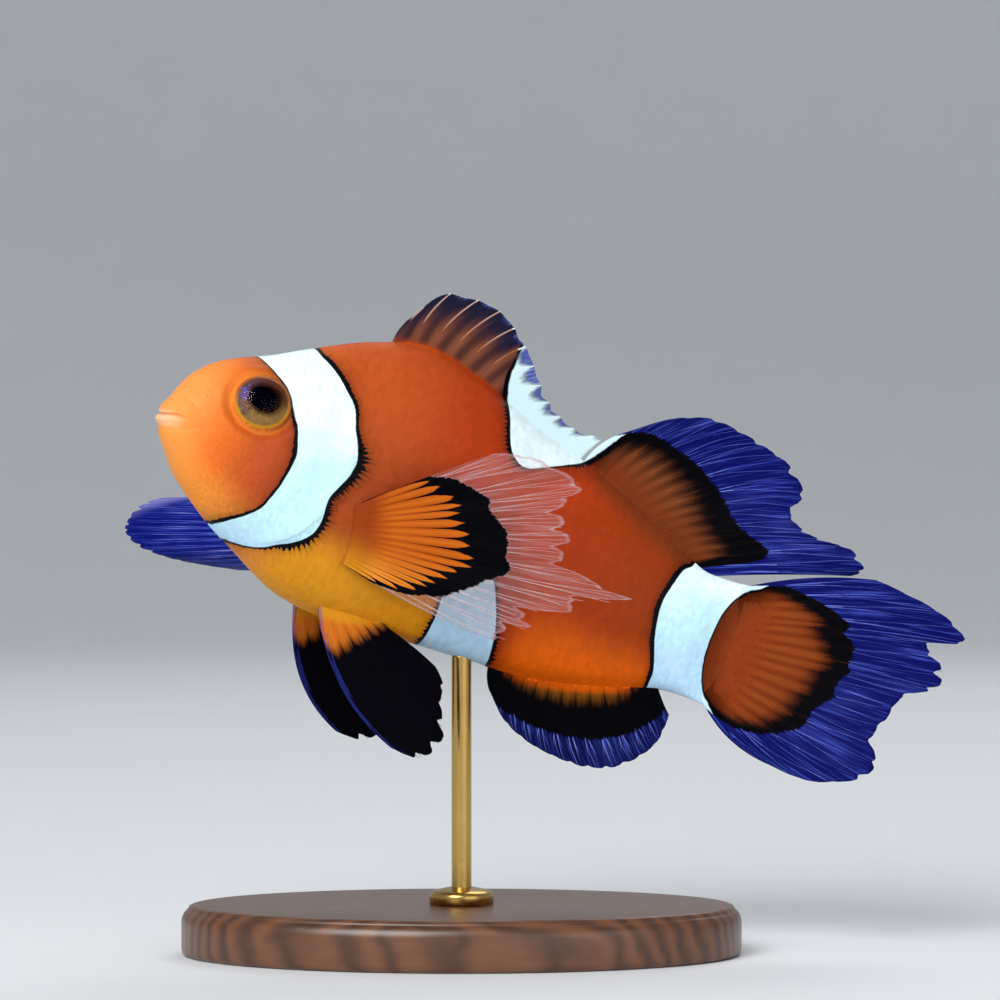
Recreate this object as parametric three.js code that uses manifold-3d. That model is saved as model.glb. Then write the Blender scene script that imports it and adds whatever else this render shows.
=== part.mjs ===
// A clownfish (Amphiprion ocellaris) modelled as a still, life-size museum piece on a plain stand.
//
// The fish is first built straight: x runs aft from the snout, y to the fish's left and z up, with the
// mouth at the origin. Every cut and join is made on that straight fish. A last step bends it along its
// spine, tips it nose-up and sets it on the rod. All lengths are millimetres and all angles degrees.
// The part's own frame has its origin at the middle of the base's underside, with +Z up.

import * as THREE from "three";
import { mergeVertices } from "three/addons/utils/BufferGeometryUtils.js";
import Module from "manifold-3d";

const wasm = await Module();
wasm.setup();

// ---------------------------------------------------------------- driving dimensions

const GAP = 0.3; // clearance kept between neighbouring solids
const CUT = 0.32; // width of the thin cuts that part the body
const FAR = 40; // half size of a cutting piece, larger than the fish is thick or tall

// Body: distance aft of the snout, height of the back, height of the belly line,
// half width, and the height at which the body is widest.
const BODY_STATIONS = [
  { x: 0, back: 3.25, belly: -1.3, half: 2.3, widest: 0.8 },
  { x: 2, back: 5.65, belly: -2.55, half: 3.1, widest: 1.0 },
  { x: 3.8, back: 7.25, belly: -4.3, half: 3.75, widest: 1.2 },
  { x: 6, back: 8.6, belly: -5.85, half: 4.5, widest: 1.4 },
  { x: 9, back: 10.05, belly: -7.7, half: 5.25, widest: 1.6 },
  { x: 12, back: 11.8, belly: -9.1, half: 5.9, widest: 1.7 },
  { x: 18, back: 15.0, belly: -11.7, half: 6.7, widest: 1.3 },
  { x: 24, back: 16.7, belly: -12.3, half: 7.0, widest: 1.0 },
  { x: 30, back: 15.7, belly: -11.7, half: 6.7, widest: 0.8 },
  { x: 38, back: 13.1, belly: -11.1, half: 5.7, widest: 0.4 },
  { x: 46, back: 10.9, belly: -10.3, half: 4.4, widest: 0.1 },
  { x: 52, back: 8.6, belly: -8.8, half: 3.4, widest: -0.2 },
  { x: 57, back: 6.3, belly: -7.2, half: 2.5, widest: -0.4 },
  { x: 61, back: 5.9, belly: -6.8, half: 1.9, widest: -0.4 },
  { x: 65, back: 6.4, belly: -7.2, half: 1.2, widest: -0.4 },
];
const BODY_END = 64.2; // where the fleshy tail stem stops and the tail fin's rays begin
const SNOUT_RADIUS = 2; // length over which the snout rounds off
const MOUTH_HEIGHT = 0.7; // height of the point that the snout rounds towards
const SNOUT_SETBACK = 0.5; // how far the snout's tip is set back, fading out over the length below
const SNOUT_SPAN = 5;
const BACK_PINCH = 0.2; // how much the upper flank draws in towards a narrow back
const BELLY_SWELL = 0.1; // how much the lower flank fills out towards a round belly

// Spine: sideways turn of the body at a distance aft of the snout; plus turns the nose to the left.
const TURN_STATIONS = [
  { x: 0, turn: 22 },
  { x: 20, turn: 19 },
  { x: 35, turn: 13 },
  { x: 48, turn: 6 },
  { x: 58, turn: -1 },
  { x: 66, turn: -6 },
  { x: 95, turn: -12 },
];
const NOSE_UP = 20.4;
const BELLY_OUT = 5; // roll that shows the belly on the left side

// Eyes
const EYE_CENTRE = { x: 8.8, y: 3.5, z: 4.9 };
const EYE_RADII = { x: 2.95, y: 1.75, z: 2.8 };
const EYE_TOE_IN = 14; // the eye faces this much forward of straight sideways
const EYE_TIP_UP = 12; // and this much upward

// Stand
const BASE_LENGTH = 56;
const BASE_DEPTH = 36;
const BASE_HEIGHT = 5;
const BASE_BEVEL = 0.8;
const ROD_RADIUS = 1;
const ROD_SOCKET_DEPTH = 3; // depth of the blind hole in the base
const ROD_FOOTING = 38.4; // distance aft of the snout where the rod meets the belly
const ROD_TOP_HEIGHT = 29.5;
const COLLAR_RADIUS = 3.2;
const COLLAR_HEIGHT = 1.4;
const COLLAR_CHAMFER = 0.5;

// Fins. Each is a sheet of rays: ray u runs from the base line (u = 0 in front) to the tip line, along a
// curve that leaves the straight by half its bow. wave is a sideways ripple that grows towards the tips.
const ROOT_DEPTH = 1.2; // how far a fin's base line lies under the skin before the body trims it
const FIN_TIP_THICKNESS = 0.5;

const DORSAL_SPINY = {
  base: { edge: "back", from: 20.4, to: 42.2 },
  tip: [
    [21.2, 0, 18.6],
    [23.3, 0, 22.1],
    [26.8, 0, 23.0],
    [29.9, 0, 22.8],
    [32.3, 0, 21.5],
    [34.2, 0, 19.8],
    [35.8, 0, 17.9],
    [37.5, 0, 16.3],
    [39.4, 0, 15.2],
    [41.6, 0, 14.6],
    [44.2, 0, 14.8],
  ],
  bow: [
    [-0.6, 0, 1.0],
    [0, 0, 0.6],
  ],
  rootThickness: 0.9,
  wave: { height: 0.3, cycles: 2, phase: 0 },
  columns: 18,
  rows: 4,
};

const DORSAL_SOFT = {
  base: { edge: "back", from: 42.9, to: 57.6 },
  tip: [
    [45.8, 0, 16.0],
    [49.8, 0, 19.0],
    [53.6, 0, 20.5],
    [57.0, 0, 20.4],
    [60.0, 0, 19.9],
    [62.9, 0, 19.0],
    [65.2, 0, 16.7],
    [64.5, 0, 14.6],
    [66.2, 0, 13.2],
    [68.6, 0, 12.8],
    [71.6, 0, 12.9],
    [73.4, 0, 11.6],
    [72.6, 0, 10.6],
  ],
  bow: [
    [-1.2, 0, 0.6],
    [-0.6, 0, 2.2],
    [0, 0, 1.6],
    [0, 0, 0.4],
  ],
  rootThickness: 0.9,
  wave: { height: 1.0, cycles: 1.6, phase: 20 },
  columns: 24,
  rows: 6,
};

const ANAL = {
  base: { edge: "belly", from: 41.2, to: 57.4 },
  tip: [
    [42.2, 0, -13.0],
    [44.6, 0, -15.2],
    [47.4, 0, -16.4],
    [50.4, 0, -16.9],
    [53.4, 0, -16.9],
    [56.2, 0, -16.1],
    [58.5, 0, -14.2],
    [59.9, 0, -11.8],
    [60.1, 0, -9.0],
  ],
  bow: [
    [-0.6, 0, -0.4],
    [-1.0, 0, -1.2],
    [0, 0, -0.4],
  ],
  rootThickness: 0.9,
  wave: { height: 0.4, cycles: 1.2, phase: 200 },
  columns: 16,
  rows: 4,
};

const CAUDAL = {
  base: [
    [62.6, 0, 5.6],
    [62.9, 0, -0.4],
    [62.6, 0, -6.4],
  ],
  tip: [
    [75.2, 0, 10.9],
    [79.8, 0, 10.4],
    [83.2, 0, 9.6],
    [85.4, 0, 8.0],
    [82.0, 0, 6.6],
    [84.0, 0, 5.0],
    [84.4, 0, 2.8],
    [81.6, 0, 0.9],
    [80.8, 0, -1.6],
    [80.0, 0, -4.2],
    [81.3, 0, -6.6],
    [79.8, 0, -8.8],
    [75.4, 0, -10.4],
    [71.0, 0, -10.2],
  ],
  bow: [
    [-0.6, 0, 1.2],
    [0, 0, 0],
    [-0.8, 0, -1.6],
  ],
  rootThickness: 1.4,
  wave: { height: 0.7, cycles: 1.3, phase: 90 },
  columns: 26,
  rows: 6,
};

const PECTORAL_LEFT = {
  base: [
    [20.6, 6.8, -1.1],
    [21.4, 6.5, -4.0],
    [21.9, 5.9, -6.8],
  ],
  tip: [
    [32.0, 9.6, 8.6],
    [36.3, 10.6, 9.3],
    [41.5, 11.6, 8.4],
    [41.1, 11.9, 6.2],
    [42.6, 12.3, 3.8],
    [44.4, 12.9, 1.3],
    [51.4, 14.3, -0.4],
    [46.8, 13.5, -3.1],
    [43.3, 12.6, -5.4],
    [42.0, 12.0, -6.8],
    [39.7, 11.0, -8.7],
    [32.9, 8.8, -8.5],
  ],
  bow: [
    [-0.6, 1.6, 0.2],
    [0, 2.0, 0],
    [-0.4, 1.4, -0.8],
  ],
  rootThickness: 1.0,
  wave: { height: 0.5, cycles: 1.5, phase: 40 },
  columns: 22,
  rows: 6,
};

const PECTORAL_RIGHT = {
  base: [
    [20.6, -6.8, -1.1],
    [21.4, -6.5, -4.0],
    [21.9, -5.9, -6.8],
  ],
  tip: [
    [15.4, -24.0, -4.2],
    [13.2, -27.2, -4.7],
    [11.5, -28.6, -5.6],
    [10.4, -29.6, -7.0],
    [10.0, -29.8, -8.8],
    [10.2, -29.4, -10.0],
    [11.6, -28.2, -10.9],
    [13.8, -26.4, -11.0],
    [16.4, -24.6, -10.6],
    [19.6, -21.2, -9.8],
  ],
  bow: [
    [1.2, -0.6, 1.6],
    [0.6, -0.4, 0.4],
    [0.8, -0.2, -0.6],
  ],
  rootThickness: 1.0,
  wave: { height: 0.5, cycles: 1.4, phase: 10 },
  columns: 16,
  rows: 6,
};

const PELVIC = {
  base: [
    [22.2, 2.0, -10.6],
    [24.6, 2.4, -10.7],
    [27.2, 2.2, -10.6],
  ],
  tip: [
    [34.0, 6.2, -22.2],
    [36.4, 6.3, -22.0],
    [37.6, 6.2, -20.9],
    [38.2, 6.0, -19.2],
    [37.4, 5.7, -17.2],
    [36.8, 5.4, -15.8],
    [36.6, 5.0, -14.4],
    [35.4, 4.4, -13.0],
  ],
  bow: [
    [-3.0, 0.8, -3.2],
    [-1.0, 0.8, -1.0],
    [0, 0.4, 0.6],
  ],
  rootThickness: 1.0,
  wave: { height: 0.3, cycles: 1, phase: 0 },
  columns: 14,
  rows: 5,
};

const PELVIC_RIGHT_FORWARD = 3.2; // how far the right pelvic fin's tip is swung ahead of the left one's

// Outlines of the cuts, as [x, z] seen from the side of the straight fish.
const HEAD_CUT = [
  [14.2, 20],
  [15.6, 14],
  [17.8, 10],
  [19.4, 5],
  [19.7, 1.5],
  [18.9, -2],
  [17, -6],
  [13.5, -9.5],
  [9.5, -14],
];
const MID_CUT = [
  [33.6, 20],
  [33.6, 14],
  [35.2, 9],
  [35.8, 3],
  [35.4, -3],
  [34.6, -8],
  [34.4, -14],
];
const TAIL_CUT = [
  [58.6, 12],
  [57.2, 6],
  [56, 2],
  [55.9, -2],
  [56.8, -6],
  [58, -12],
];
const JAW_CUT = [
  [-3, 0.7],
  [0.6, 0.75],
  [2.6, 0.3],
  [3.4, -1.6],
  [4.0, -4],
  [5.2, -9],
];
const GILL_COVER_OUTLINE = [
  [13.2, 5.6],
  [14.4, 2],
  [13.9, -1.4],
  [12.2, -4.4],
  [13.6, -6.3],
  [16.2, -5.2],
  [18.0, -2],
  [18.8, 1.5],
  [18.5, 5],
  [17.2, 8.2],
  [14.8, 7.6],
];
const GILL_COVER_THICKNESS = 0.9;
const GILL_COVER_FROM_MIDDLE = 1; // each cover's cutting prism starts this far from the middle plane

// Mesh resolution
const BODY_RINGS = 26;
const RING_CROWDING = 1.35; // rings stand closer together towards the snout as this grows past 1
const BODY_SIDES = 24;
const EYE_SIDES = 16;
const EYE_RINGS = 8;
const ROUND_SIDES = 20;
const BASE_SIDES = 16;
const WELD = 1e-4; // vertices closer than this are one vertex

// ---------------------------------------------------------------- curves

const toRadians = THREE.MathUtils.degToRad;

// Value of one column of a station table at x: a smooth curve through the stations.
function along(stations, column, x) {
  const last = stations.length - 1;
  let i = 0;
  while (i < last - 1 && x > stations[i + 1].x) i++;
  const slope = (j) => {
    const a = stations[Math.max(j - 1, 0)];
    const b = stations[Math.min(j + 1, last)];
    return (b[column] - a[column]) / (b.x - a.x);
  };
  const width = stations[i + 1].x - stations[i].x;
  const t = THREE.MathUtils.clamp((x - stations[i].x) / width, 0, 1);
  const h = [
    (1 + 2 * t) * (1 - t) * (1 - t),
    t * (1 - t) * (1 - t) * width,
    t * t * (3 - 2 * t),
    t * t * (t - 1) * width,
  ];
  return (
    h[0] * stations[i][column] + h[1] * slope(i) + h[2] * stations[i + 1][column] + h[3] * slope(i + 1)
  );
}

function smoothCurve(points) {
  const vectors = points.map((p) => new THREE.Vector3(...p));
  return new THREE.CatmullRomCurve3(vectors, false, "catmullrom", 0.5);
}

// ---------------------------------------------------------------- solids and geometries

// A closed mesh as a solid; one whose faces point inwards is turned over.
function toSolid(geometry) {
  const bare = geometry.clone();
  bare.deleteAttribute("normal");
  bare.deleteAttribute("uv");
  const merged = mergeVertices(bare, WELD);
  const vertProperties = new Float32Array(merged.attributes.position.array);
  const triVerts = new Uint32Array(merged.index.array);
  const solid = new wasm.Manifold(new wasm.Mesh({ numProp: 3, vertProperties, triVerts }));
  if (solid.volume() > 0) return solid;
  return new wasm.Manifold(new wasm.Mesh({ numProp: 3, vertProperties, triVerts: triVerts.reverse() }));
}

function toGeometry(solid) {
  const mesh = solid.getMesh();
  const geometry = new THREE.BufferGeometry();
  geometry.setAttribute("position", new THREE.BufferAttribute(new Float32Array(mesh.vertProperties), 3));
  geometry.setIndex(new THREE.BufferAttribute(new Uint32Array(mesh.triVerts), 1));
  return geometry;
}

// The separate bodies of a solid, from the snout to the tail.
function piecesFromNoseToTail(solid) {
  const middle = (piece) => {
    const box = piece.boundingBox();
    return box.min[0] + box.max[0];
  };
  return solid.decompose().sort((a, b) => middle(a) - middle(b));
}

const largestPiece = (solid) => solid.decompose().sort((a, b) => b.volume() - a.volume())[0];

// A closed mesh from rows of points: each row is a closed ring, and both ends are closed by a fan.
function loft(rings, firstTip, lastTip) {
  const sides = rings[0].length;
  const points = rings.flat().concat([firstTip, lastTip]);
  const faces = [];
  for (let r = 0; r + 1 < rings.length; r++) {
    for (let s = 0; s < sides; s++) {
      const a = r * sides + s;
      const b = r * sides + ((s + 1) % sides);
      faces.push(a, b + sides, b, a, a + sides, b + sides);
    }
  }
  const first = rings.length * sides;
  const start = (rings.length - 1) * sides;
  for (let s = 0; s < sides; s++) {
    faces.push(first, s, (s + 1) % sides);
    faces.push(first + 1, start + ((s + 1) % sides), start + s);
  }
  const geometry = new THREE.BufferGeometry().setFromPoints(points);
  geometry.setIndex(faces);
  return geometry;
}

// ---------------------------------------------------------------- spine and pose

const aft = new THREE.Vector3(Math.cos(toRadians(NOSE_UP)), 0, -Math.sin(toRadians(NOSE_UP)));
const upright = new THREE.Vector3(Math.sin(toRadians(NOSE_UP)), 0, Math.cos(toRadians(NOSE_UP)));
const sideways = new THREE.Vector3(0, -1, 0);
const rollCos = Math.cos(toRadians(BELLY_OUT));
const rollSin = Math.sin(toRadians(BELLY_OUT));
const up = upright.clone().multiplyScalar(rollCos).addScaledVector(sideways, -rollSin);
const left = sideways.clone().multiplyScalar(rollCos).addScaledVector(upright, rollSin);

const SPINE_STEP = 0.5;
const SPINE_START = -10;
const SPINE_END = 100;

// Points of the bent spine, one for every SPINE_STEP of length, from in front of the snout.
const spine = [new THREE.Vector3()];
for (let x = SPINE_START; x < SPINE_END; x += SPINE_STEP) {
  const heading = toRadians(along(TURN_STATIONS, "turn", x + SPINE_STEP / 2));
  const next = spine.at(-1).clone();
  next.addScaledVector(aft, SPINE_STEP * Math.cos(heading));
  next.addScaledVector(left, -SPINE_STEP * Math.sin(heading));
  spine.push(next);
}

// A point of the straight fish, bent along the spine but not yet placed on the rod.
function bend(p) {
  const place = (p.x - SPINE_START) / SPINE_STEP;
  const i = THREE.MathUtils.clamp(Math.floor(place), 0, spine.length - 2);
  const out = spine[i].clone().lerp(spine[i + 1], place - i);
  const heading = toRadians(along(TURN_STATIONS, "turn", p.x));
  out.addScaledVector(left, p.y * Math.cos(heading));
  out.addScaledVector(aft, p.y * Math.sin(heading));
  return out.addScaledVector(up, p.z);
}

// ---------------------------------------------------------------- body

// The body's outline figures at a distance aft of the snout, rounded off at the snout.
function section(x) {
  const into = Math.min(Math.max(x, 0) / SNOUT_RADIUS, 1);
  const nose = Math.sqrt(1 - (1 - into) * (1 - into));
  const back = MOUTH_HEIGHT + (along(BODY_STATIONS, "back", x) - MOUTH_HEIGHT) * nose;
  const belly = MOUTH_HEIGHT + (along(BODY_STATIONS, "belly", x) - MOUTH_HEIGHT) * nose;
  const widest = MOUTH_HEIGHT + (along(BODY_STATIONS, "widest", x) - MOUTH_HEIGHT) * nose;
  return { back, belly, widest, half: along(BODY_STATIONS, "half", x) * nose };
}

// How far aft the snout is drawn in at a station.
const setback = (x) => SNOUT_SETBACK * (1 - THREE.MathUtils.smoothstep(x, 0, SNOUT_SPAN));

// A point of the body's surface, or of a surface `grow` outside it; angle 0 is the left flank, 90 the back.
function bodyPoint(x, angle, grow = 0) {
  const s = section(x);
  const rise = Math.sin(angle);
  const shape = rise > 0 ? 1 - BACK_PINCH * rise * rise : 1 + BELLY_SWELL * rise * rise;
  const height = rise > 0 ? s.back - s.widest : s.widest - s.belly;
  const y = (s.half * shape + grow) * Math.cos(angle);
  return new THREE.Vector3(x + setback(x), y, s.widest + (height + grow) * rise);
}

// The whole body as one closed solid, or one whose surface lies `grow` outside it.
function bodySolid(grow = 0) {
  const rings = [];
  for (let i = 1; i <= BODY_RINGS; i++) {
    const x = BODY_END * Math.pow(i / BODY_RINGS, RING_CROWDING);
    const ring = [];
    for (let k = 0; k < BODY_SIDES; k++) ring.push(bodyPoint(x, (2 * Math.PI * k) / BODY_SIDES, grow));
    if (i === BODY_RINGS) ring.forEach((p) => (p.x += grow));
    rings.push(ring);
  }
  const tail = section(BODY_END);
  const snoutTip = new THREE.Vector3(setback(0) - grow, 0, MOUTH_HEIGHT);
  const tailTip = new THREE.Vector3(BODY_END + grow, 0, tail.widest);
  return toSolid(loft(rings, snoutTip, tailTip));
}

// A curved wall of the cuts' width, standing across the fish along an outline seen from the side.
function cuttingWall(outline) {
  const line = smoothCurve(outline.map(([x, z]) => [x, z, 0])).getPoints(outline.length * 2);
  const shift = line.map((p, i) => {
    const a = line[Math.max(i - 1, 0)];
    const b = line[Math.min(i + 1, line.length - 1)];
    const across = new THREE.Vector2(-(b.y - a.y), b.x - a.x).normalize();
    return across.multiplyScalar(CUT / 2);
  });
  const near = line.map((p, i) => new THREE.Vector2(p.x + shift[i].x, p.y + shift[i].y));
  const far = line.map((p, i) => new THREE.Vector2(p.x - shift[i].x, p.y - shift[i].y)).reverse();
  return prismAcross(new THREE.Shape(near.concat(far)), -FAR, FAR);
}

// A side view outline turned into a prism that runs across the fish from y = from to y = to.
function prismAcross(shape, from, to) {
  const geometry = new THREE.ExtrudeGeometry(shape, { depth: to - from, bevelEnabled: false });
  geometry.rotateX(Math.PI / 2);
  geometry.translate(0, to, 0);
  return toSolid(geometry);
}

// A rounded closed outline, grown outwards from its middle.
function outlineShape(outline, grow) {
  const middle = new THREE.Vector2();
  outline.forEach(([x, z]) => middle.add(new THREE.Vector2(x, z).divideScalar(outline.length)));
  const points = outline.map(([x, z]) => {
    const away = new THREE.Vector2(x, z).sub(middle);
    return away.setLength(away.length() + grow).add(middle);
  });
  const closed = new THREE.CatmullRomCurve3(
    points.map((p) => new THREE.Vector3(p.x, p.y, 0)),
    true,
    "catmullrom",
    0.5,
  );
  const rounded = closed.getPoints(outline.length * 2).slice(0, -1);
  return new THREE.Shape(rounded.map((p) => new THREE.Vector2(p.x, p.y)));
}

// ---------------------------------------------------------------- eyes

// The flattened ball of an eye, or a ball `grow` larger for its socket. side is 1 on the left, -1 on the
// right.
function eyeSolid(side, grow = 0) {
  const geometry = new THREE.SphereGeometry(1, EYE_SIDES, EYE_RINGS);
  geometry.scale(EYE_RADII.x + grow, EYE_RADII.y + grow, EYE_RADII.z + grow);
  geometry.rotateX(toRadians(side * EYE_TIP_UP));
  geometry.rotateZ(toRadians(side * EYE_TOE_IN));
  geometry.translate(EYE_CENTRE.x, side * EYE_CENTRE.y, EYE_CENTRE.z);
  return toSolid(geometry);
}

// ---------------------------------------------------------------- fins

// The point of a fin's middle sheet on ray u, at v from base (0) to tip (1).
function finSheet(fin) {
  const tip = smoothCurve(fin.tip);
  const bow = smoothCurve(fin.bow);
  const base = fin.base.edge ? bodyEdge(fin.base) : smoothCurve(fin.base);
  return (u, v) => {
    const b = base.getPoint(u);
    const t = tip.getPoint(u);
    const middle = b.clone().add(t).multiplyScalar(0.5).add(bow.getPoint(u));
    const p = b.multiplyScalar((1 - v) * (1 - v));
    p.addScaledVector(middle, 2 * v * (1 - v));
    p.addScaledVector(t, v * v);
    p.y += fin.wave.height * v * v * Math.sin(toRadians(fin.wave.phase + 360 * fin.wave.cycles * u));
    return p;
  };
}

// The base line of a fin on the back or belly, just under the skin.
function bodyEdge({ edge, from, to }) {
  const depth = edge === "back" ? -ROOT_DEPTH : ROOT_DEPTH;
  return {
    getPoint: (u) => {
      const x = THREE.MathUtils.lerp(from, to, u);
      return new THREE.Vector3(x, 0, section(x)[edge] + depth);
    },
  };
}

const FINITE_STEP = 0.01; // step in u and v over which a fin's slope is measured

// A fin as a closed plate that thins from its root to its tip.
function finSolid(fin) {
  const sheet = finSheet(fin);
  const normalAt = (u, v) => {
    const u0 = Math.max(u - FINITE_STEP, 0);
    const v0 = Math.max(v - FINITE_STEP, 0);
    const alongBase = sheet(Math.min(u + FINITE_STEP, 1), v).sub(sheet(u0, v));
    const alongRay = sheet(u, Math.min(v + FINITE_STEP, 1)).sub(sheet(u, v0));
    return alongBase.cross(alongRay).normalize();
  };
  const { columns, rows } = fin;
  const faces = { near: [], far: [] };
  for (let j = 0; j <= rows; j++) {
    for (let i = 0; i <= columns; i++) {
      const u = i / columns;
      const v = j / rows;
      const half = THREE.MathUtils.lerp(fin.rootThickness, FIN_TIP_THICKNESS, v) / 2;
      const normal = normalAt(u, v);
      faces.near.push(sheet(u, v).addScaledVector(normal, half));
      faces.far.push(sheet(u, v).addScaledVector(normal, -half));
    }
  }
  return closedPlate(faces, columns, rows);
}

// Two grids of points, joined round their edge into one closed plate.
function closedPlate({ near, far }, columns, rows) {
  const wide = columns + 1;
  const under = near.length;
  const index = [];
  const quad = (a, b, c, d) => index.push(a, b, c, a, c, d);
  for (let j = 0; j < rows; j++) {
    for (let i = 0; i < columns; i++) {
      const a = j * wide + i;
      quad(a, a + 1, a + wide + 1, a + wide);
      quad(under + a, under + a + wide, under + a + wide + 1, under + a + 1);
    }
  }
  for (let i = 0; i < columns; i++) {
    const top = rows * wide + i;
    quad(i, under + i, under + i + 1, i + 1);
    quad(top, top + 1, under + top + 1, under + top);
  }
  for (let j = 0; j < rows; j++) {
    const first = j * wide;
    const last = first + columns;
    quad(first, first + wide, under + first + wide, under + first);
    quad(last, under + last, under + last + wide, last + wide);
  }
  const geometry = new THREE.BufferGeometry().setFromPoints(near.concat(far));
  geometry.setIndex(index);
  return toSolid(geometry);
}

// The right-hand twin of a paired fin, swung forward at the tip.
function rightTwin(fin, forward) {
  const flip = (points, shift) => points.map(([x, y, z]) => [x - shift, -y, z]);
  return {
    ...fin,
    base: flip(fin.base, forward / 3),
    tip: flip(fin.tip, forward),
    bow: flip(fin.bow, forward / 4),
  };
}

// ---------------------------------------------------------------- stand

// The oval base with rounded-off edges and a blind hole for the rod.
function standBase(rodHole) {
  const shape = new THREE.Shape();
  shape.absellipse(0, 0, BASE_LENGTH / 2, BASE_DEPTH / 2, 0, 2 * Math.PI);
  const geometry = new THREE.ExtrudeGeometry(shape, {
    depth: BASE_HEIGHT - 2 * BASE_BEVEL,
    bevelThickness: BASE_BEVEL,
    bevelSize: BASE_BEVEL,
    bevelOffset: -BASE_BEVEL,
    bevelSegments: 1,
    curveSegments: BASE_SIDES,
  });
  geometry.translate(0, 0, BASE_BEVEL);
  return toSolid(geometry).subtract(rodHole);
}

// An upright cylinder on the part's Z axis.
function cylinder(radius, from, to) {
  const geometry = new THREE.CylinderGeometry(radius, radius, to - from, ROUND_SIDES);
  geometry.rotateX(Math.PI / 2);
  geometry.translate(0, 0, (from + to) / 2);
  return toSolid(geometry);
}

// The ring that covers the rod's hole, standing on the base.
function collar() {
  const floor = BASE_HEIGHT + GAP;
  const inner = ROD_RADIUS + GAP;
  const profile = [
    [inner, floor],
    [COLLAR_RADIUS, floor],
    [COLLAR_RADIUS, floor + COLLAR_HEIGHT - COLLAR_CHAMFER],
    [COLLAR_RADIUS - COLLAR_CHAMFER, floor + COLLAR_HEIGHT],
    [inner, floor + COLLAR_HEIGHT],
    [inner, floor],
  ].map(([r, z]) => new THREE.Vector2(r, z));
  const geometry = new THREE.LatheGeometry(profile, ROUND_SIDES);
  geometry.rotateX(Math.PI / 2);
  return toSolid(geometry);
}

// ---------------------------------------------------------------- assembly

const ORANGE = { color: 0xd9540f, roughness: 0.45, metalness: 0 };
const FACE = { color: 0xf08a1c, roughness: 0.45, metalness: 0 };
const WHITE = { color: 0xe8f4f8, roughness: 0.45, metalness: 0 };
const BLACK_FIN = { color: 0x0b0a12, roughness: 0.5, metalness: 0 };
const CLEAR_FIN = { color: 0x6f86c8, roughness: 0.4, metalness: 0 };
const EYE = { color: 0x14100c, roughness: 0.08, metalness: 0 };
const WOOD = { color: 0x4a2c18, roughness: 0.4, metalness: 0 };
const BRASS = { color: 0xb8975a, roughness: 0.3, metalness: 1 };

const clownfish = new THREE.Group();

function addMesh(name, geometry, finish) {
  geometry.computeVertexNormals();
  const mesh = new THREE.Mesh(geometry, new THREE.MeshStandardMaterial(finish));
  mesh.name = name;
  clownfish.add(mesh);
}

// The bent spine is moved so that the point of the belly over the rod stands at the rod's top.
const footing = bend(bodyPoint(ROD_FOOTING, -Math.PI / 2));
const placing = new THREE.Vector3(0, 0, ROD_TOP_HEIGHT).sub(footing);

// The straight fish's frame (aft, left, up) is left-handed, so placing it turns every face over.
function posed(solid) {
  const geometry = toGeometry(solid);
  geometry.getIndex().array.reverse();
  const points = geometry.getAttribute("position");
  const p = new THREE.Vector3();
  for (let i = 0; i < points.count; i++) {
    const q = bend(p.fromBufferAttribute(points, i)).add(placing);
    points.setXYZ(i, q.x, q.y, q.z);
  }
  return geometry;
}

const addFlesh = (name, solid, finish) => addMesh(name, posed(solid), finish);

// The body parted at the gill opening, at the middle and at the tail stem.
function buildBody(body) {
  const walls = [HEAD_CUT, MID_CUT, TAIL_CUT].map((outline) => cuttingWall(outline));
  const parted = walls.reduce((rest, wall) => rest.subtract(wall), body);
  const [head, trunkFront, trunkRear, tailStem] = piecesFromNoseToTail(parted);
  buildHead(head);
  addFlesh("trunk_front", trunkFront, ORANGE);
  addFlesh("trunk_rear", trunkRear, ORANGE);
  addFlesh("tail_stem", tailStem, WHITE);
}

// The head with its eyes in their sockets, its gill covers laid in recesses and its lower jaw parted off.
function buildHead(wholeHead) {
  let head = wholeHead;
  for (const [name, side] of [["eye_left", 1], ["eye_right", -1]]) {
    head = head.subtract(eyeSolid(side, GAP));
    addFlesh(name, eyeSolid(side), EYE);
  }
  const core = bodySolid(-GILL_COVER_THICKNESS);
  const innerCore = bodySolid(-GILL_COVER_THICKNESS - GAP);
  for (const [name, side] of [["gill_cover_left", 1], ["gill_cover_right", -1]]) {
    const [from, to] = side > 0 ? [GILL_COVER_FROM_MIDDLE, FAR] : [-FAR, -GILL_COVER_FROM_MIDDLE];
    const plate = prismAcross(outlineShape(GILL_COVER_OUTLINE, 0), from, to);
    const recess = prismAcross(outlineShape(GILL_COVER_OUTLINE, GAP), from, to);
    addFlesh(name, largestPiece(wholeHead.intersect(plate).subtract(core)), WHITE);
    head = head.subtract(recess.subtract(innerCore));
  }
  const [jaw, skull] = piecesFromNoseToTail(head.subtract(cuttingWall(JAW_CUT)));
  addFlesh("lower_jaw", jaw, FACE);
  addFlesh("head", skull, FACE);
}

// The fins, each trimmed where it meets the body.
function buildFins(grownBody) {
  const fins = [
    ["dorsal_fin_spiny", DORSAL_SPINY, BLACK_FIN],
    ["dorsal_fin_soft", DORSAL_SOFT, CLEAR_FIN],
    ["anal_fin", ANAL, BLACK_FIN],
    ["caudal_fin", CAUDAL, CLEAR_FIN],
    ["pectoral_fin_left", PECTORAL_LEFT, ORANGE],
    ["pectoral_fin_right", PECTORAL_RIGHT, CLEAR_FIN],
    ["pelvic_fin_left", PELVIC, BLACK_FIN],
    ["pelvic_fin_right", rightTwin(PELVIC, PELVIC_RIGHT_FORWARD), BLACK_FIN],
  ];
  for (const [name, fin, finish] of fins) {
    addFlesh(name, largestPiece(finSolid(fin).subtract(grownBody)), finish);
  }
}

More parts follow.
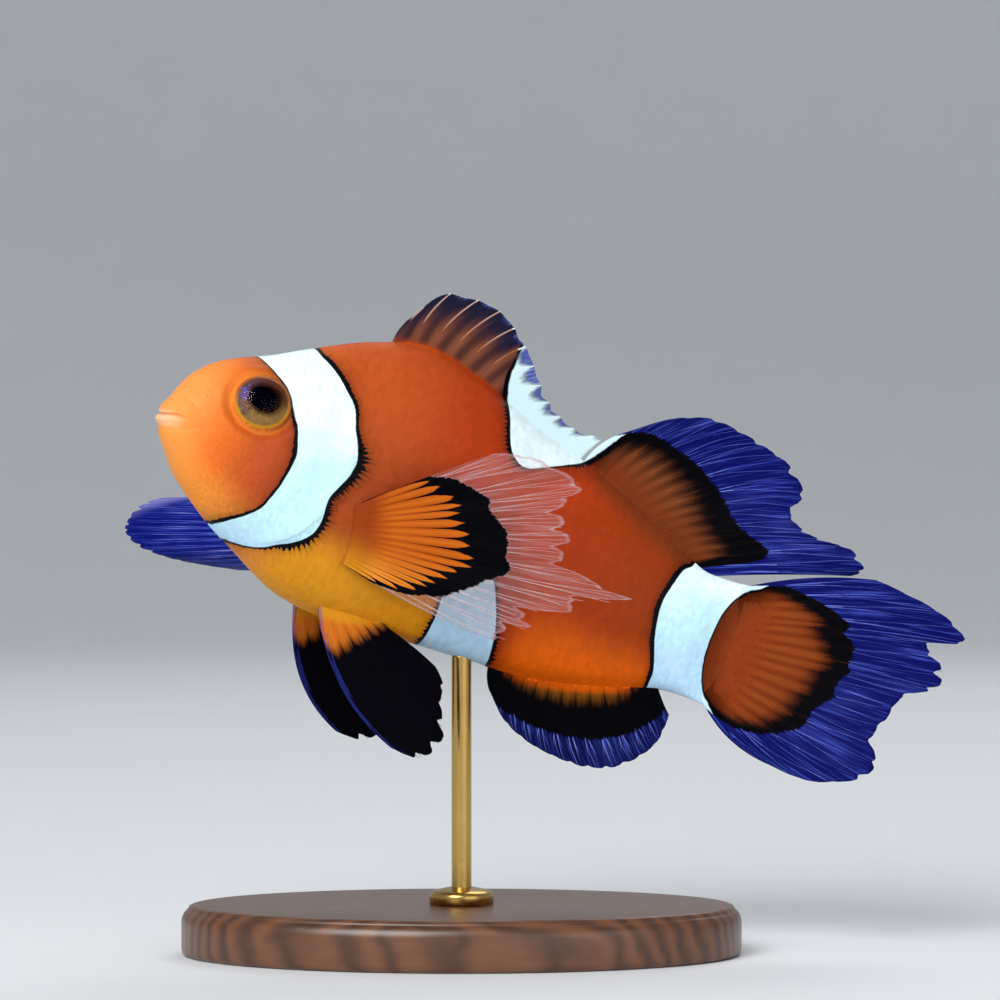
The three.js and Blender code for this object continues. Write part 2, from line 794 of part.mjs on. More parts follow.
// The stand, whose rod is trimmed to the underside of the belly.
function buildStand(grownBody) {
  const holeFloor = BASE_HEIGHT - ROD_SOCKET_DEPTH;
  const hole = cylinder(ROD_RADIUS + GAP, holeFloor, BASE_HEIGHT + GAP);
  const rod = cylinder(ROD_RADIUS, holeFloor + GAP, ROD_TOP_HEIGHT + 2 * ROD_RADIUS);
  const trimmedRod = largestPiece(rod.subtract(toSolid(posed(grownBody))));
  addMesh("stand_base", toGeometry(standBase(hole)), WOOD);
  addMesh("stand_collar", toGeometry(collar()), BRASS);
  addMesh("stand_rod", toGeometry(trimmedRod), BRASS);
}

const grownBody = bodySolid(GAP);
buildBody(bodySolid());
buildFins(grownBody);
buildStand(grownBody);

export default clownfish;
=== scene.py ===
# A clownfish as a museum shows one: a still, life-size model on a brass rod and a small oval wooden base.
# Lengths in the fish's own tables are millimetres on the straight fish, with x aft of the snout, y to the
# fish's left and z up. The last step of every piece bends it along the spine and sets it over the base.
import math

import bpy
import mathutils
import numpy as np
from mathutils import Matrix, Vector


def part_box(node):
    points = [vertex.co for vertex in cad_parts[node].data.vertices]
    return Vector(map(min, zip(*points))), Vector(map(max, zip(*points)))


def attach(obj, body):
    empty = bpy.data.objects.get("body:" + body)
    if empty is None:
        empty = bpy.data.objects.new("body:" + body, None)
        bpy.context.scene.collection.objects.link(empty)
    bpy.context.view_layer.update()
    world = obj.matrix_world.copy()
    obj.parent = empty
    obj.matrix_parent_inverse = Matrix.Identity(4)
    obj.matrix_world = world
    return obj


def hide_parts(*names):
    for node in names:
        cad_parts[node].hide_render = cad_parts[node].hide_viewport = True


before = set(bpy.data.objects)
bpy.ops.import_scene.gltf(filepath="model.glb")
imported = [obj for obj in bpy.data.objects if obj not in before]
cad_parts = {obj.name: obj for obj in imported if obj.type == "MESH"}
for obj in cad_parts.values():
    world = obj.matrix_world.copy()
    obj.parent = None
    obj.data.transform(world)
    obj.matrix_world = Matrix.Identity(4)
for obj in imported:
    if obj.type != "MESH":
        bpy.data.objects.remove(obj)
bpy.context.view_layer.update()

# ---------------------------------------------------------------- the body's skin
# One seamless skin over the head, gill covers, trunk and tail stem: soft orange hide with three white
# bands edged in black. It is cast in one piece, and the eyes and fins are set into it.

METRES = 0.001  # one millimetre of the tables

# distance aft of the snout, height of the back, height of the belly, half width, height of greatest width
BODY_STATIONS = np.array([
    (0, 3.25, -1.3, 2.3, 0.8),
    (2, 5.65, -2.55, 3.1, 1.0),
    (3.8, 7.25, -4.3, 3.75, 1.2),
    (6, 8.6, -5.85, 4.5, 1.4),
    (9, 10.05, -7.7, 5.25, 1.6),
    (12, 11.8, -9.1, 5.9, 1.7),
    (18, 15.0, -11.7, 6.7, 1.3),
    (24, 16.7, -12.3, 7.0, 1.0),
    (30, 15.7, -11.7, 6.7, 0.8),
    (38, 13.1, -11.1, 5.7, 0.4),
    (46, 10.9, -10.3, 4.4, 0.1),
    (52, 8.6, -8.8, 3.4, -0.2),
    (57, 6.3, -7.2, 2.5, -0.4),
    (61, 5.9, -6.8, 1.9, -0.4),
    (65, 6.4, -7.2, 1.2, -0.4),
])
BODY_END = 64.2
SNOUT_RADIUS = 2.0
MOUTH_HEIGHT = 0.7
SNOUT_SETBACK = 0.5  # how far the snout's tip is drawn in, fading out over the span
SNOUT_SPAN = 5.0
BACK_PINCH = 0.2
BELLY_SWELL = 0.1

# distance aft of the snout, sideways turn of the body there in degrees
TURN_STATIONS = np.array([(0, 22.0), (20, 19), (35, 13), (48, 6), (58, -1), (66, -6), (95, -12)])
NOSE_UP = math.radians(20.4)
BELLY_OUT = math.radians(5)
ROD_FOOTING = 38.4  # distance aft of the snout where the rod meets the belly
ROD_TOP_HEIGHT = 29.5


def smooth_step(value, low, high):
    t = np.clip((value - low) / (high - low), 0, 1)
    return t * t * (3 - 2 * t)


def along(table, column, x):
    """A smooth curve through one column of a station table, at distances x."""
    x = np.asarray(x, float)
    at, value = table[:, 0], table[:, column]
    last = len(at) - 1
    before, after = np.maximum(np.arange(last + 1) - 1, 0), np.minimum(np.arange(last + 1) + 1, last)
    slope = (value[after] - value[before]) / (at[after] - at[before])
    i = np.clip(np.searchsorted(at, x) - 1, 0, last - 1)
    width = at[i + 1] - at[i]
    t = np.clip((x - at[i]) / width, 0, 1)
    start = (1 + 2 * t) * (1 - t) ** 2 * value[i] + t * (1 - t) ** 2 * width * slope[i]
    return start + t * t * (3 - 2 * t) * value[i + 1] + t * t * (t - 1) * width * slope[i + 1]


def section(x):
    """Back, belly, half width and height of greatest width at distances x, rounded off at the snout."""
    into = np.clip(x / SNOUT_RADIUS, 0, 1)
    nose = np.sqrt(1 - (1 - into) ** 2)
    back, belly, widest = (
        MOUTH_HEIGHT + (along(BODY_STATIONS, column, x) - MOUTH_HEIGHT) * nose for column in (1, 2, 4))
    return back, belly, along(BODY_STATIONS, 3, x) * nose, widest


def body_point(x, angle, grow=0.0):
    """Points of the body's form, or of a form `grow` outside it; angle 0 is the left flank, 90 the back."""
    back, belly, half, widest = section(x)
    rise = np.sin(angle)
    shape = np.where(rise > 0, 1 - BACK_PINCH * rise**2, 1 + BELLY_SWELL * rise**2)
    height = np.where(rise > 0, back - widest, widest - belly)
    y = (half * shape + grow) * np.cos(angle)
    aft = x + SNOUT_SETBACK * (1 - smooth_step(x, 0, SNOUT_SPAN))
    return np.stack(np.broadcast_arrays(aft, y, widest + (height + grow) * rise), -1)


def surface_normals(point, x, angle, turn=0.01, step=0.01):
    """Outward unit normals of the surface that point(x, angle) gives, smoothed over a turn and a step."""
    round_it = point(x, angle + turn) - point(x, angle - turn)
    ahead = point(x + step, angle) - point(np.maximum(x - step, 0.001), angle)
    normal = np.cross(round_it, ahead)
    return normal / np.maximum(np.linalg.norm(normal, axis=-1, keepdims=True), 1e-9)


AFT = np.array([math.cos(NOSE_UP), 0, -math.sin(NOSE_UP)])
UPRIGHT = np.array([math.sin(NOSE_UP), 0, math.cos(NOSE_UP)])
SIDEWAYS = np.array([0, -1.0, 0])
UP = UPRIGHT * math.cos(BELLY_OUT) - SIDEWAYS * math.sin(BELLY_OUT)
LEFT = SIDEWAYS * math.cos(BELLY_OUT) + UPRIGHT * math.sin(BELLY_OUT)
SPINE_STEP = 0.5
SPINE_START = -10.0
spine_places = np.arange(SPINE_START, 100, SPINE_STEP)
heading = np.radians(along(TURN_STATIONS, 1, spine_places + SPINE_STEP / 2))[:, None]
spine = np.cumsum(SPINE_STEP * (AFT * np.cos(heading) - LEFT * np.sin(heading)), 0)
spine = np.vstack([np.zeros(3), spine])


def bend(p):
    """Points of the straight fish, bent along its spine."""
    place = (p[..., 0] - SPINE_START) / SPINE_STEP
    i = np.clip(np.floor(place).astype(int), 0, len(spine) - 2)
    part = (place - i)[..., None]
    turn = np.radians(along(TURN_STATIONS, 1, p[..., 0]))[..., None]
    out = spine[i] * (1 - part) + spine[i + 1] * part
    out = out + LEFT * p[..., 1:2] * np.cos(turn) + AFT * p[..., 1:2] * np.sin(turn)
    return out + UP * p[..., 2:3]


FOOTING = bend(body_point(np.array(ROD_FOOTING), np.array(-math.pi / 2)))


def posed(p):
    """Points of the straight fish in the part's frame, in metres."""
    return (bend(p) - FOOTING + [0, 0, ROD_TOP_HEIGHT]) * METRES


def nearest_on_line(x, z, line):
    """Distance of points to a line of (x, z) corners, and which corner their nearest place lies after."""
    line = np.asarray(line, float)
    best, place = np.full(np.shape(x), np.inf), np.zeros(np.shape(x))
    for i, (a, b) in enumerate(zip(line[:-1], line[1:])):
        run = b - a
        t = np.clip(((x - a[0]) * run[0] + (z - a[1]) * run[1]) / (run @ run), 0, 1)
        away = np.hypot(x - a[0] - t * run[0], z - a[1] - t * run[1])
        closer = away < best
        best, place = np.where(closer, away, best), np.where(closer, i + t, place)
    return best, place


def inside(x, z, outline):
    """True where a point lies in a closed outline of (x, z) corners."""
    found = np.zeros(np.shape(x), bool)
    for (ax, az), (bx, bz) in zip(outline, np.roll(outline, -1, 0)):
        crosses = (az > z) != (bz > z)
        found ^= crosses & (x < (bx - ax) * (z - az) / (bz - az if bz != az else 1) + ax)
    return found


def rounded(points, steps=6):
    """A smooth line through points, as many short straight ones."""
    p = np.asarray(points, float)
    p = np.vstack([2 * p[0] - p[1], p, 2 * p[-1] - p[-2]])
    u = np.linspace(0, len(p) - 3, (len(p) - 3) * steps + 1)
    return curve_at(p, u)


def curve_at(p, u):
    """Points at u on the Catmull-Rom curve whose padded corner points are p."""
    i = np.clip(np.floor(u).astype(int), 0, len(p) - 4)
    w = (u - i)[..., None]
    a, b, c, d = p[i], p[i + 1], p[i + 2], p[i + 3]
    m, n = (c - a) / 2, (d - b) / 2
    return (2 * b - 2 * c + m + n) * w**3 + (3 * c - 3 * b - 2 * m - n) * w**2 + m * w + b


# Lines of the face and flank, as (x, z) seen from the side.
MOUTH_LINE = [(-0.5, 0.4), (0.3, 0.52), (0.7, 0.64), (1.4, 0.88), (2.2, 0.86), (3.0, 0.5)]
LIP_FOLD = [(0.2, 2.3), (1.0, 2.75), (2.0, 2.7), (3.0, 2.2), (3.8, 1.4), (4.0, 0.6)]
CHIN_FOLD = [(0.3, -0.75), (1.0, -0.85), (2.0, -0.5), (2.9, 0.0), (3.5, 0.4)]
CHEEK_CRESCENT = [(5.4, -0.2), (6.0, -0.8), (6.25, -1.4), (5.9, -1.9), (5.2, -2.0)]
CHEEK_PLATE = [(12.3, 3.4), (12.9, 1.0), (12.6, -1.6), (11.3, -4.2), (9.0, -6.0), (6.2, -5.6)]
GILL_COVER = [
    (13.6, 6.5), (15.4, 8.6), (17.4, 7.8), (18.7, 5.2), (19.2, 2.2), (18.7, -1.0),
    (17.6, -4.0), (15.8, -6.6), (12.6, -8.4), (9.6, -8.0), (11.6, -5.0), (13.2, -1.0), (13.6, 3.0),
]
LATERAL_LINE = [
    (14.8, 5.4), (18.0, 7.4), (20.9, 8.8), (23.7, 10.4), (28.8, 11.8), (33.3, 11.4),
    (39.0, 10.1), (45.0, 8.2), (50.5, 6.0),
]
NOSTRILS = [(3.8, 5.1), (3.5, 3.7)]
# folds and lines pressed into the skin: where, how far they stand out, half their width
FACE_FOLDS = [
    (LIP_FOLD, -0.07, 0.22),
    (CHIN_FOLD, -0.06, 0.22),
    (CHEEK_CRESCENT, -0.05, 0.14),
    (CHEEK_PLATE, -0.05, 0.22),
    (LATERAL_LINE, 0.025, 0.14),
]
# the mouth's groove, upper lip and lower lip: height over the mouth's line, how far out, half the width
LIPS = [(0.0, -0.34, 0.1), (0.72, 0.17, 0.5), (-0.5, 0.24, 0.36)]
NOSTRIL_RIM, NOSTRIL_PIT = (0.15, 0.3), (-0.3, 0.12)  # how far out and half the width of each
FLAP_HEIGHT, FLAP_GROOVE = 0.17, 0.06  # of the gill cover's free edge, over the shoulder and into it
# low swellings along the middle of the back and belly under the fins, and the throat's groove:
# which side, how far out, half the width, and from where to where they rise and fall aft of the snout
KEELS = [
    (1, 0.3, 0.55, (19.5, 22), (56.5, 59)),
    (-1, 0.25, 0.55, (40, 42.5), (56, 58.5)),
    (-1, -0.14, 0.3, (3, 5), (11, 14)),
]
FIN_MUSCLE = (21.0, -4.0, 1.7, 3.3)  # middle and half sizes of the swelling under the pectoral fin
FIN_MUSCLE_HEIGHT = 0.4

EYE_CENTRE = np.array([8.8, 3.5, 4.9])
EYE_RADII = np.array([2.95, 1.75, 2.8])
EYE_TOE_IN = math.radians(14)
EYE_TIP_UP = math.radians(12)
LID_START, LID_END = 1.0, 1.5  # the skin round the eye, in eye radii from its middle

SKIN_DEPTH = 0.07  # how far the skin lies under the coat of scales
END_SQUEEZE, END_LENGTH = 0.74, 5.0  # how far the sides close in where the tail fin grips the body


def eye_axes(side):
    """The eye's own aft, outward and up directions on the straight fish, as rows."""
    c, s = math.cos(side * EYE_TIP_UP), math.sin(side * EYE_TIP_UP)
    tip = np.array([[1, 0, 0], [0, c, -s], [0, s, c]])
    c, s = math.cos(side * EYE_TOE_IN), math.sin(side * EYE_TOE_IN)
    toe = np.array([[c, -s, 0], [s, c, 0], [0, 0, 1]])
    return (toe @ tip @ np.diag([1, side, 1])).T


def eye_frame(p, side):
    """Points in the eye's own frame (aft, out, up), and their distance from its axis in eye radii."""
    q = (p - EYE_CENTRE * [1, side, 1]) @ eye_axes(side).T
    return q, np.hypot(q[..., 0] / EYE_RADII[0], q[..., 2] / EYE_RADII[2])


# distance from the eye's axis in eye radii, and how far the skin stands out there above and below the eye
LID_PLACES = [0, 0.9, 0.955, 1.0, 1.06, 1.14, 1.22, 1.32, 1.5]
LID_ABOVE = [-0.5, -0.45, 0.1, 0.16, 0.06, 0.09, 0.03, 0.05, 0.0]
LID_BELOW = [-0.5, -0.45, 0.06, 0.09, 0.06, 0.04, 0.02, 0.01, 0.0]


def seat_eyes(p):
    """The skin drawn down into a socket round each eye, with a soft lid fold round it."""
    for side in (1, -1):
        q, away = eye_frame(p, side)
        ball = EYE_RADII[1] * np.sqrt(np.clip(1 - away**2, 0, 1))
        folded, plain = (np.interp(away, LID_PLACES, lid) for lid in (LID_ABOVE, LID_BELOW))
        upper = smooth_step(q[..., 2] - 0.4 * q[..., 0], -1.0, 1.6)
        lid = plain + (folded - plain) * upper
        seat = np.where(away < 1, ball, 0) + lid
        rest = smooth_step(away, LID_START, LID_END)
        seat = seat * (1 - rest) + (q[..., 1] + lid * 0.8) * rest
        near = (away < LID_END) & (p[..., 1] * side > 0)
        shift = np.where(near, seat - q[..., 1], 0)
        p = p + shift[..., None] * eye_axes(side)[1]
    return p


def relief(p):
    """How far the skin stands out from the body's form, for features of the face, gills and fin bases."""
    x, y, z = p[..., 0], p[..., 1], p[..., 2]
    mouth = np.interp(x, *zip(*MOUTH_LINE))
    above = z - mouth
    lip = 1 - smooth_step(x, 1.5, 2.8)
    out = np.zeros(x.shape)
    for height, rise, width in LIPS:
        out += rise * np.exp(-(((above - height) / width) ** 2)) * lip
    for line, rise, width in FACE_FOLDS:
        line = rounded(line, 4)
        near = (np.abs(x - line[:, 0].mean()) < np.ptp(line[:, 0]) / 2 + 4 * width)
        away = nearest_on_line(x[near], z[near], line)[0]
        out[near] += rise * np.exp(-((away / width) ** 2))
    for nx, nz in NOSTRILS:
        away = np.hypot(x - nx, z - nz)
        for rise, width in (NOSTRIL_RIM, NOSTRIL_PIT):
            out += rise * np.exp(-((away / width) ** 2))
    cover = rounded(GILL_COVER + GILL_COVER[:1], 4)
    near = (x > 7) & (x < 22)
    away = nearest_on_line(x[near], z[near], cover)[0]
    away = np.where(inside(x[near], z[near], cover[:-1]), away, -away)
    aft_half = smooth_step(x[near], 12.5, 15.5)
    flap = smooth_step(away, -0.05, 0.12) * (1 - smooth_step(away, 0.2, 2.6))
    groove = np.exp(-(((away + 0.15) / 0.14) ** 2))
    out[near] += aft_half * (FLAP_HEIGHT * flap - FLAP_GROOVE * groove)
    middle_x, middle_z, half_x, half_z = FIN_MUSCLE
    lobe = ((x - middle_x) / half_x) ** 2 + ((z - middle_z) / half_z) ** 2
    out += FIN_MUSCLE_HEIGHT * np.exp(-(lobe**2))
    for end, rise, width, swells, fades in KEELS:
        keel = np.exp(-((y / width) ** 2)) * (z * end > 0)
        out += rise * keel * smooth_step(x, *swells) * (1 - smooth_step(x, *fades))
    return out


def skin_point(x, angle, grow=0.0):
    """Points of the finished skin on the straight fish, or of a surface `grow` outside it."""
    ending = smooth_step(x, BODY_END - END_LENGTH, BODY_END + 0.2)
    p = body_point(x, angle, -SKIN_DEPTH + grow)
    p[..., 1] *= 1 - END_SQUEEZE * ending
    out = surface_normals(body_point, x, angle)
    p = p + out * relief(p)[..., None]
    return seat_eyes(p)


# The three white bands as (x, z, width of the black edge there), seen from the side.
HEAD_BAND = [
    (6.4, 11.6, 0.25), (7.3, 9.75, 0.25), (8.2, 9.05, 0.3), (9.5, 8.1, 0.3), (10.7, 7.3, 0.35),
    (11.7, 5.8, 0.45), (12.5, 3.8, 0.6), (13.2, 1.6, 0.8), (13.25, 0.4, 0.75), (13.1, -0.8, 0.6),
    (12.9, -2.1, 0.5), (12.5, -3.5, 0.5), (12.1, -4.75, 0.5), (11.0, -6.0, 0.6), (9.9, -7.0, 0.7),
    (9.1, -8.0, 0.75), (8.4, -11.0, 0.6),
    (10.6, -11.0, 0.3), (10.8, -8.7, 0.3), (11.5, -8.6, 0.35), (12.9, -8.5, 0.3), (14.2, -8.05, 0.35),
    (15.0, -7.45, 0.45), (16.0, -6.9, 0.7), (16.9, -6.25, 0.8), (17.5, -5.6, 0.8), (17.9, -4.7, 0.7),
    (18.0, -3.5, 0.8), (17.8, -2.4, 0.7), (17.8, -1.4, 0.6), (18.2, -0.3, 0.8), (18.8, 1.0, 1.0),
    (19.1, 2.1, 1.2), (19.1, 3.1, 1.2), (18.6, 4.5, 0.9), (18.0, 5.7, 0.65), (17.7, 6.7, 0.6),
    (17.2, 8.0, 0.7), (16.3, 9.0, 0.75), (15.3, 10.1, 0.85), (14.2, 11.0, 0.9), (13.1, 11.9, 0.7),
    (12.3, 13.5, 0.35), (11.0, 16.0, 0.3),
]
MID_BAND_UPPER = [
    (33.4, 26.0, 0.3), (33.1, 19.0, 0.35), (33.0, 16.8, 0.5), (33.8, 13.6, 0.65), (34.6, 10.4, 0.6),
    (35.7, 9.1, 0.5), (37.0, 8.8, 0.3), (38.9, 9.6, 0.15), (41.5, 10.9, 0.3), (42.9, 11.7, 0.5),
    (44.3, 13.4, 0.6), (45.5, 15.2, 0.5), (47.5, 19.0, 0.4), (46.0, 26.0, 0.3),
]
MID_BAND_LOWER = [
    (33.3, -14.5, 0.5), (33.5, -11.3, 0.5), (33.4, -9.2, 0.5), (33.3, -8.0, 0.45), (33.0, -5.5, 0.4),
    (33.6, -3.0, 0.3), (35.4, -1.9, 0.3), (37.4, -2.9, 0.35), (38.75, -5.1, 0.4), (39.8, -7.4, 0.5),
    (40.35, -9.3, 0.55), (40.8, -11.0, 0.6), (41.2, -14.5, 0.6),
]
TAIL_BAND = [
    (58.2, 12.0, 0.3), (57.3, 6.4, 0.6), (56.4, 5.2, 0.85), (55.85, 3.5, 0.95), (55.35, 1.0, 0.9),
    (55.8, -2.0, 0.85), (56.5, -4.0, 0.8), (57.0, -5.6, 0.8), (57.0, -7.0, 0.6), (57.4, -12.0, 0.5),
    (68.0, -12.0, 0.3), (64.0, -7.3, 0.3), (62.3, -5.5, 0.3), (61.5, -3.2, 0.3), (61.3, -0.6, 0.3),
    (61.7, 2.8, 0.3), (63.0, 5.2, 0.3), (65.0, 6.7, 0.3), (70.0, 12.0, 0.3),
]


BANDS = {"head": HEAD_BAND, "mid_upper": MID_BAND_UPPER, "mid_lower": MID_BAND_LOWER, "tail": TAIL_BAND}
FAR_OUTSIDE = -99.0  # the depth given to places that no band is near
EDGE_REACH = 4.0  # how far fore and aft of a band its edge colours the skin


def markings(p, bands=tuple(BANDS)):
    """For points of the straight fish: how deep they lie in a white band (minus outside), the width of
    the band's black edge there, and how far round the band's outline that place is."""
    x, z = p[..., 0], p[..., 2]
    depth, ink, run = np.full(x.shape, FAR_OUTSIDE), np.zeros(x.shape), np.zeros(x.shape)
    for number, name in enumerate(bands):
        band = BANDS[name]
        line = rounded(band + band[:1], 5)
        lengths = np.r_[0, np.cumsum(np.hypot(*np.diff(line[:, :2], axis=0).T))]
        near = (x > line[:, 0].min() - EDGE_REACH) & (x < line[:, 0].max() + EDGE_REACH)
        away, place = nearest_on_line(x[near], z[near], line[:, :2])
        away = np.where(inside(x[near], z[near], line[:-1, :2]), away, -away)
        closer = np.zeros(x.shape, bool)
        closer[near] = away > depth[near]
        chosen = closer[near]
        corners = np.arange(len(line))
        depth[closer] = away[chosen]
        ink[closer] = np.interp(place[chosen], corners, line[:, 2])
        run[closer] = np.interp(place[chosen], corners, lengths) + 100 * number
    return np.stack([depth, ink, run], -1)


def add_vectors(mesh, name, values):
    made = mesh.attributes.new(name, "FLOAT_VECTOR", "POINT")
    made.data.foreach_set("vector", np.asarray(values, np.float32).ravel())


def add_numbers(mesh, name, values):
    mesh.attributes.new(name, "FLOAT", "POINT").data.foreach_set("value", values)


def values_of(mesh, name):
    found = np.empty(len(mesh.vertices) * 3, np.float32)
    mesh.attributes[name].data.foreach_get("vector", found)
    return found.reshape(-1, 3).astype(float)


def corners_of(mesh):
    """The number of the point at each corner of a mesh's faces."""
    found = np.empty(len(mesh.loops), np.int32)
    mesh.loops.foreach_get("vertex_index", found)
    return found


def mesh_of(name, points, faces):
    """A smooth-shaded mesh of points and of faces with the same number of corners."""
    faces = np.asarray(faces, np.int32)
    mesh = bpy.data.meshes.new(name)
    mesh.vertices.add(len(points))
    mesh.vertices.foreach_set("co", np.asarray(points, np.float32).ravel())
    mesh.loops.add(faces.size)
    mesh.loops.foreach_set("vertex_index", faces.ravel())
    mesh.polygons.add(len(faces))
    mesh.polygons.foreach_set("loop_start", np.arange(len(faces), dtype=np.int32) * faces.shape[1])
    mesh.polygons.foreach_set("use_smooth", np.ones(len(faces), bool))
    mesh.update(calc_edges=True)
    mesh.validate()
    return mesh


def ring_quads(rings, sides):
    """Faces with four corners between closed rings of points that follow one another."""
    row, side = np.meshgrid(np.arange(rings - 1), np.arange(sides), indexing="ij")
    beside = (side + 1) % sides
    return np.stack([row * sides + side, row * sides + beside,
                     (row + 1) * sides + beside, (row + 1) * sides + side], -1).reshape(-1, 4)


def capped_faces(rings, sides):
    """Triangles over closed rings of points and the two points after them, which close the ends."""
    quads, s = ring_quads(rings, sides), np.arange(sides)
    after, last = (s + 1) % sides, (rings - 1) * sides
    return np.vstack([
        quads[:, [0, 1, 2]], quads[:, [0, 2, 3]],
        np.stack([np.full(sides, rings * sides), after, s], -1),
        np.stack([np.full(sides, rings * sides + 1), last + s, last + after], -1)])


def shown(name, mesh):
    piece = bpy.data.objects.new(name, mesh)
    bpy.context.scene.collection.objects.link(piece)
    return piece


def pose_mesh(mesh):
    """Notes where each point lies on the straight fish, and moves it to its place in the part.
    The straight fish is left-handed, so its faces are turned over."""
    rest = values_of(mesh, "position")
    add_vectors(mesh, "rest", rest)
    mesh.vertices.foreach_set("co", posed(rest).astype(np.float32).ravel())
    mesh.flip_normals()
    mesh.update()
    return rest


def set_map(mesh, places):
    """Gives a mesh its OFBake map from one place per face corner."""
    layer = mesh.uv_layers.new(name="OFBake")
    layer.uv.foreach_set("vector", np.asarray(places, np.float32).ravel())


SKIN_SIDES = 256
HEAD_RING_STEP, BODY_RING_STEP = 0.12, 0.29  # distance between the skin's rings of points
HEAD_LENGTH = 13.0
SNOUT_CAP, TAIL_CAP = 0.02, 0.25  # how far the points that close the skin stand out past its end rings
MAP_MARGIN = 0.02
MAP_LENGTH = 74.0  # distance aft that the map runs to, with the scaled base of the tail fin


def skin_rings():
    """Distances aft of the skin's rings, closer together on the head and over the round of the snout."""
    x = BODY_END * np.linspace(0, 1, 6000) ** 2
    profile = np.hypot(np.diff(x), np.diff(section(x)[0]))
    step = np.where(x[1:] < HEAD_LENGTH, HEAD_RING_STEP, BODY_RING_STEP)
    count = np.r_[0, np.cumsum(profile / step)]
    return np.interp(np.arange(1, int(count[-1]) + 1), count, x)


def build_skin():
    x = skin_rings()
    angle = np.linspace(0, 2 * math.pi, SKIN_SIDES, endpoint=False)
    rings, sides = len(x), SKIN_SIDES
    grid_x, grid_angle = np.meshgrid(x, angle, indexing="ij")
    points = skin_point(grid_x, grid_angle).reshape(-1, 3)
    first, last = points[:sides].mean(0), points[-sides:].mean(0)
    first[0] -= SNOUT_CAP
    last[0] += TAIL_CAP
    mesh = mesh_of("skin", np.vstack([points, first, last]), capped_faces(rings, sides))
    corner = corners_of(mesh)
    across = np.r_[np.repeat(x, sides), 0, BODY_END][corner] / MAP_LENGTH
    around = np.r_[np.tile(np.arange(sides), rings), 0, 0][corner] / sides
    whole = around.reshape(-1, 3)
    wraps = np.ptp(whole, axis=1) > 0.5
    whole[wraps] = np.where(whole[wraps] < 0.5, whole[wraps] + 1, whole[wraps])
    set_map(mesh, MAP_MARGIN + (1 - 2 * MAP_MARGIN) * np.stack([across, whole.ravel() / (1 + 1 / sides)], -1))
    rest = pose_mesh(mesh)
    add_vectors(mesh, "mark", markings(rest))
    return shown("skin", mesh)


def add_node(tree, kind, inputs, settings):
    """Adds a node to a tree: its settings first, then the values or links of its sockets."""
    made = tree.nodes.new(kind)
    for key, setting in settings.items():
        setattr(made, key, setting)
    for key, value in (inputs or {}).items():
        value = getattr(value, "socket", value)
        if isinstance(value, bpy.types.NodeSocket):
            tree.links.new(value, made.inputs[key])
        elif made.inputs[key].type == "VECTOR":
            made.inputs[key].default_value = value[:3]
        else:
            made.inputs[key].default_value = value
    return made


class Value:
    """One output of a material's node. Arithmetic on it adds Math nodes."""

    def __init__(self, finish, socket):
        self.finish, self.socket = finish, socket

    def math(self, operation, *others):
        return self.finish.node("ShaderNodeMath", dict(enumerate([self, *others])), operation=operation)

    def reflected(self, operation, other):
        return self.finish.node("ShaderNodeMath", {0: other, 1: self}, operation=operation)

    def __add__(self, other):
        return self.math("ADD", other)

    def __radd__(self, other):
        return self.reflected("ADD", other)

    def __sub__(self, other):
        return self.math("SUBTRACT", other)

    def __rsub__(self, other):
        return self.reflected("SUBTRACT", other)

    def __mul__(self, other):
        return self.math("MULTIPLY", other)

    def __rmul__(self, other):
        return self.reflected("MULTIPLY", other)

    def __neg__(self):
        return self.reflected("SUBTRACT", 0.0)


class Finish:
    """A material and the few ways its nodes are made."""

    def __init__(self, name):
        self.material = bpy.data.materials.new(name)
        self.material.use_nodes = True
        self.tree = self.material.node_tree
        self.tree.nodes.clear()

    def node(self, kind, inputs=None, output=0, **settings):
        made = add_node(self.tree, kind, inputs, settings)
        return Value(self, made.outputs[output]) if made.outputs else None

    def attribute(self, name):
        return self.node("ShaderNodeAttribute", output="Vector", attribute_name=name)

    def amount(self, name):
        return self.node("ShaderNodeAttribute", output="Fac", attribute_name=name)

    def place(self):
        return self.node("ShaderNodeTexCoord", output="Object")

    def split(self, vector):
        made = self.node("ShaderNodeSeparateXYZ", {0: vector}).socket.node
        return [Value(self, socket) for socket in made.outputs]

    def join(self, x, y, z):
        return self.node("ShaderNodeCombineXYZ", {0: x, 1: y, 2: z})

    def step(self, value, low, high):
        """0 below low, 1 above high and smooth between."""
        return self.node("ShaderNodeMapRange", {0: value, 1: low, 2: high},
                         interpolation_type="SMOOTHSTEP")

    def noise(self, vector, scale, detail=2.0, roughness=0.5):
        """Noise from about -0.5 to 0.5."""
        inputs = {"Vector": vector, "Scale": scale, "Detail": detail, "Roughness": roughness}
        return self.node("ShaderNodeTexNoise", inputs) - 0.5

    def mix(self, share, first, second):
        return self.node("ShaderNodeMix", {0: share, 6: first, 7: second}, output=2, data_type="RGBA")

    def shade(self, colour, amount):
        """A colour made lighter or darker by a factor."""
        return self.node("ShaderNodeVectorMath", {0: colour, "Scale": amount}, operation="SCALE")

    def stretch(self, vector, x, y, z):
        return self.node("ShaderNodeVectorMath", {0: vector, 1: (x, y, z)}, operation="MULTIPLY")

    def bump(self, height, strength, distance):
        """Small bumps, with the distance in millimetres."""
        return self.node("ShaderNodeBump", {
            "Strength": strength, "Distance": distance * METRES, "Height": height})

    def surface(self, **sockets):
        """The material's Principled surface, from values and links by socket name."""
        inputs = {key.replace("_", " "): value for key, value in sockets.items()}
        shader = self.node("ShaderNodeBsdfPrincipled", inputs)
        self.node("ShaderNodeOutputMaterial", {"Surface": shader})
        return self.material
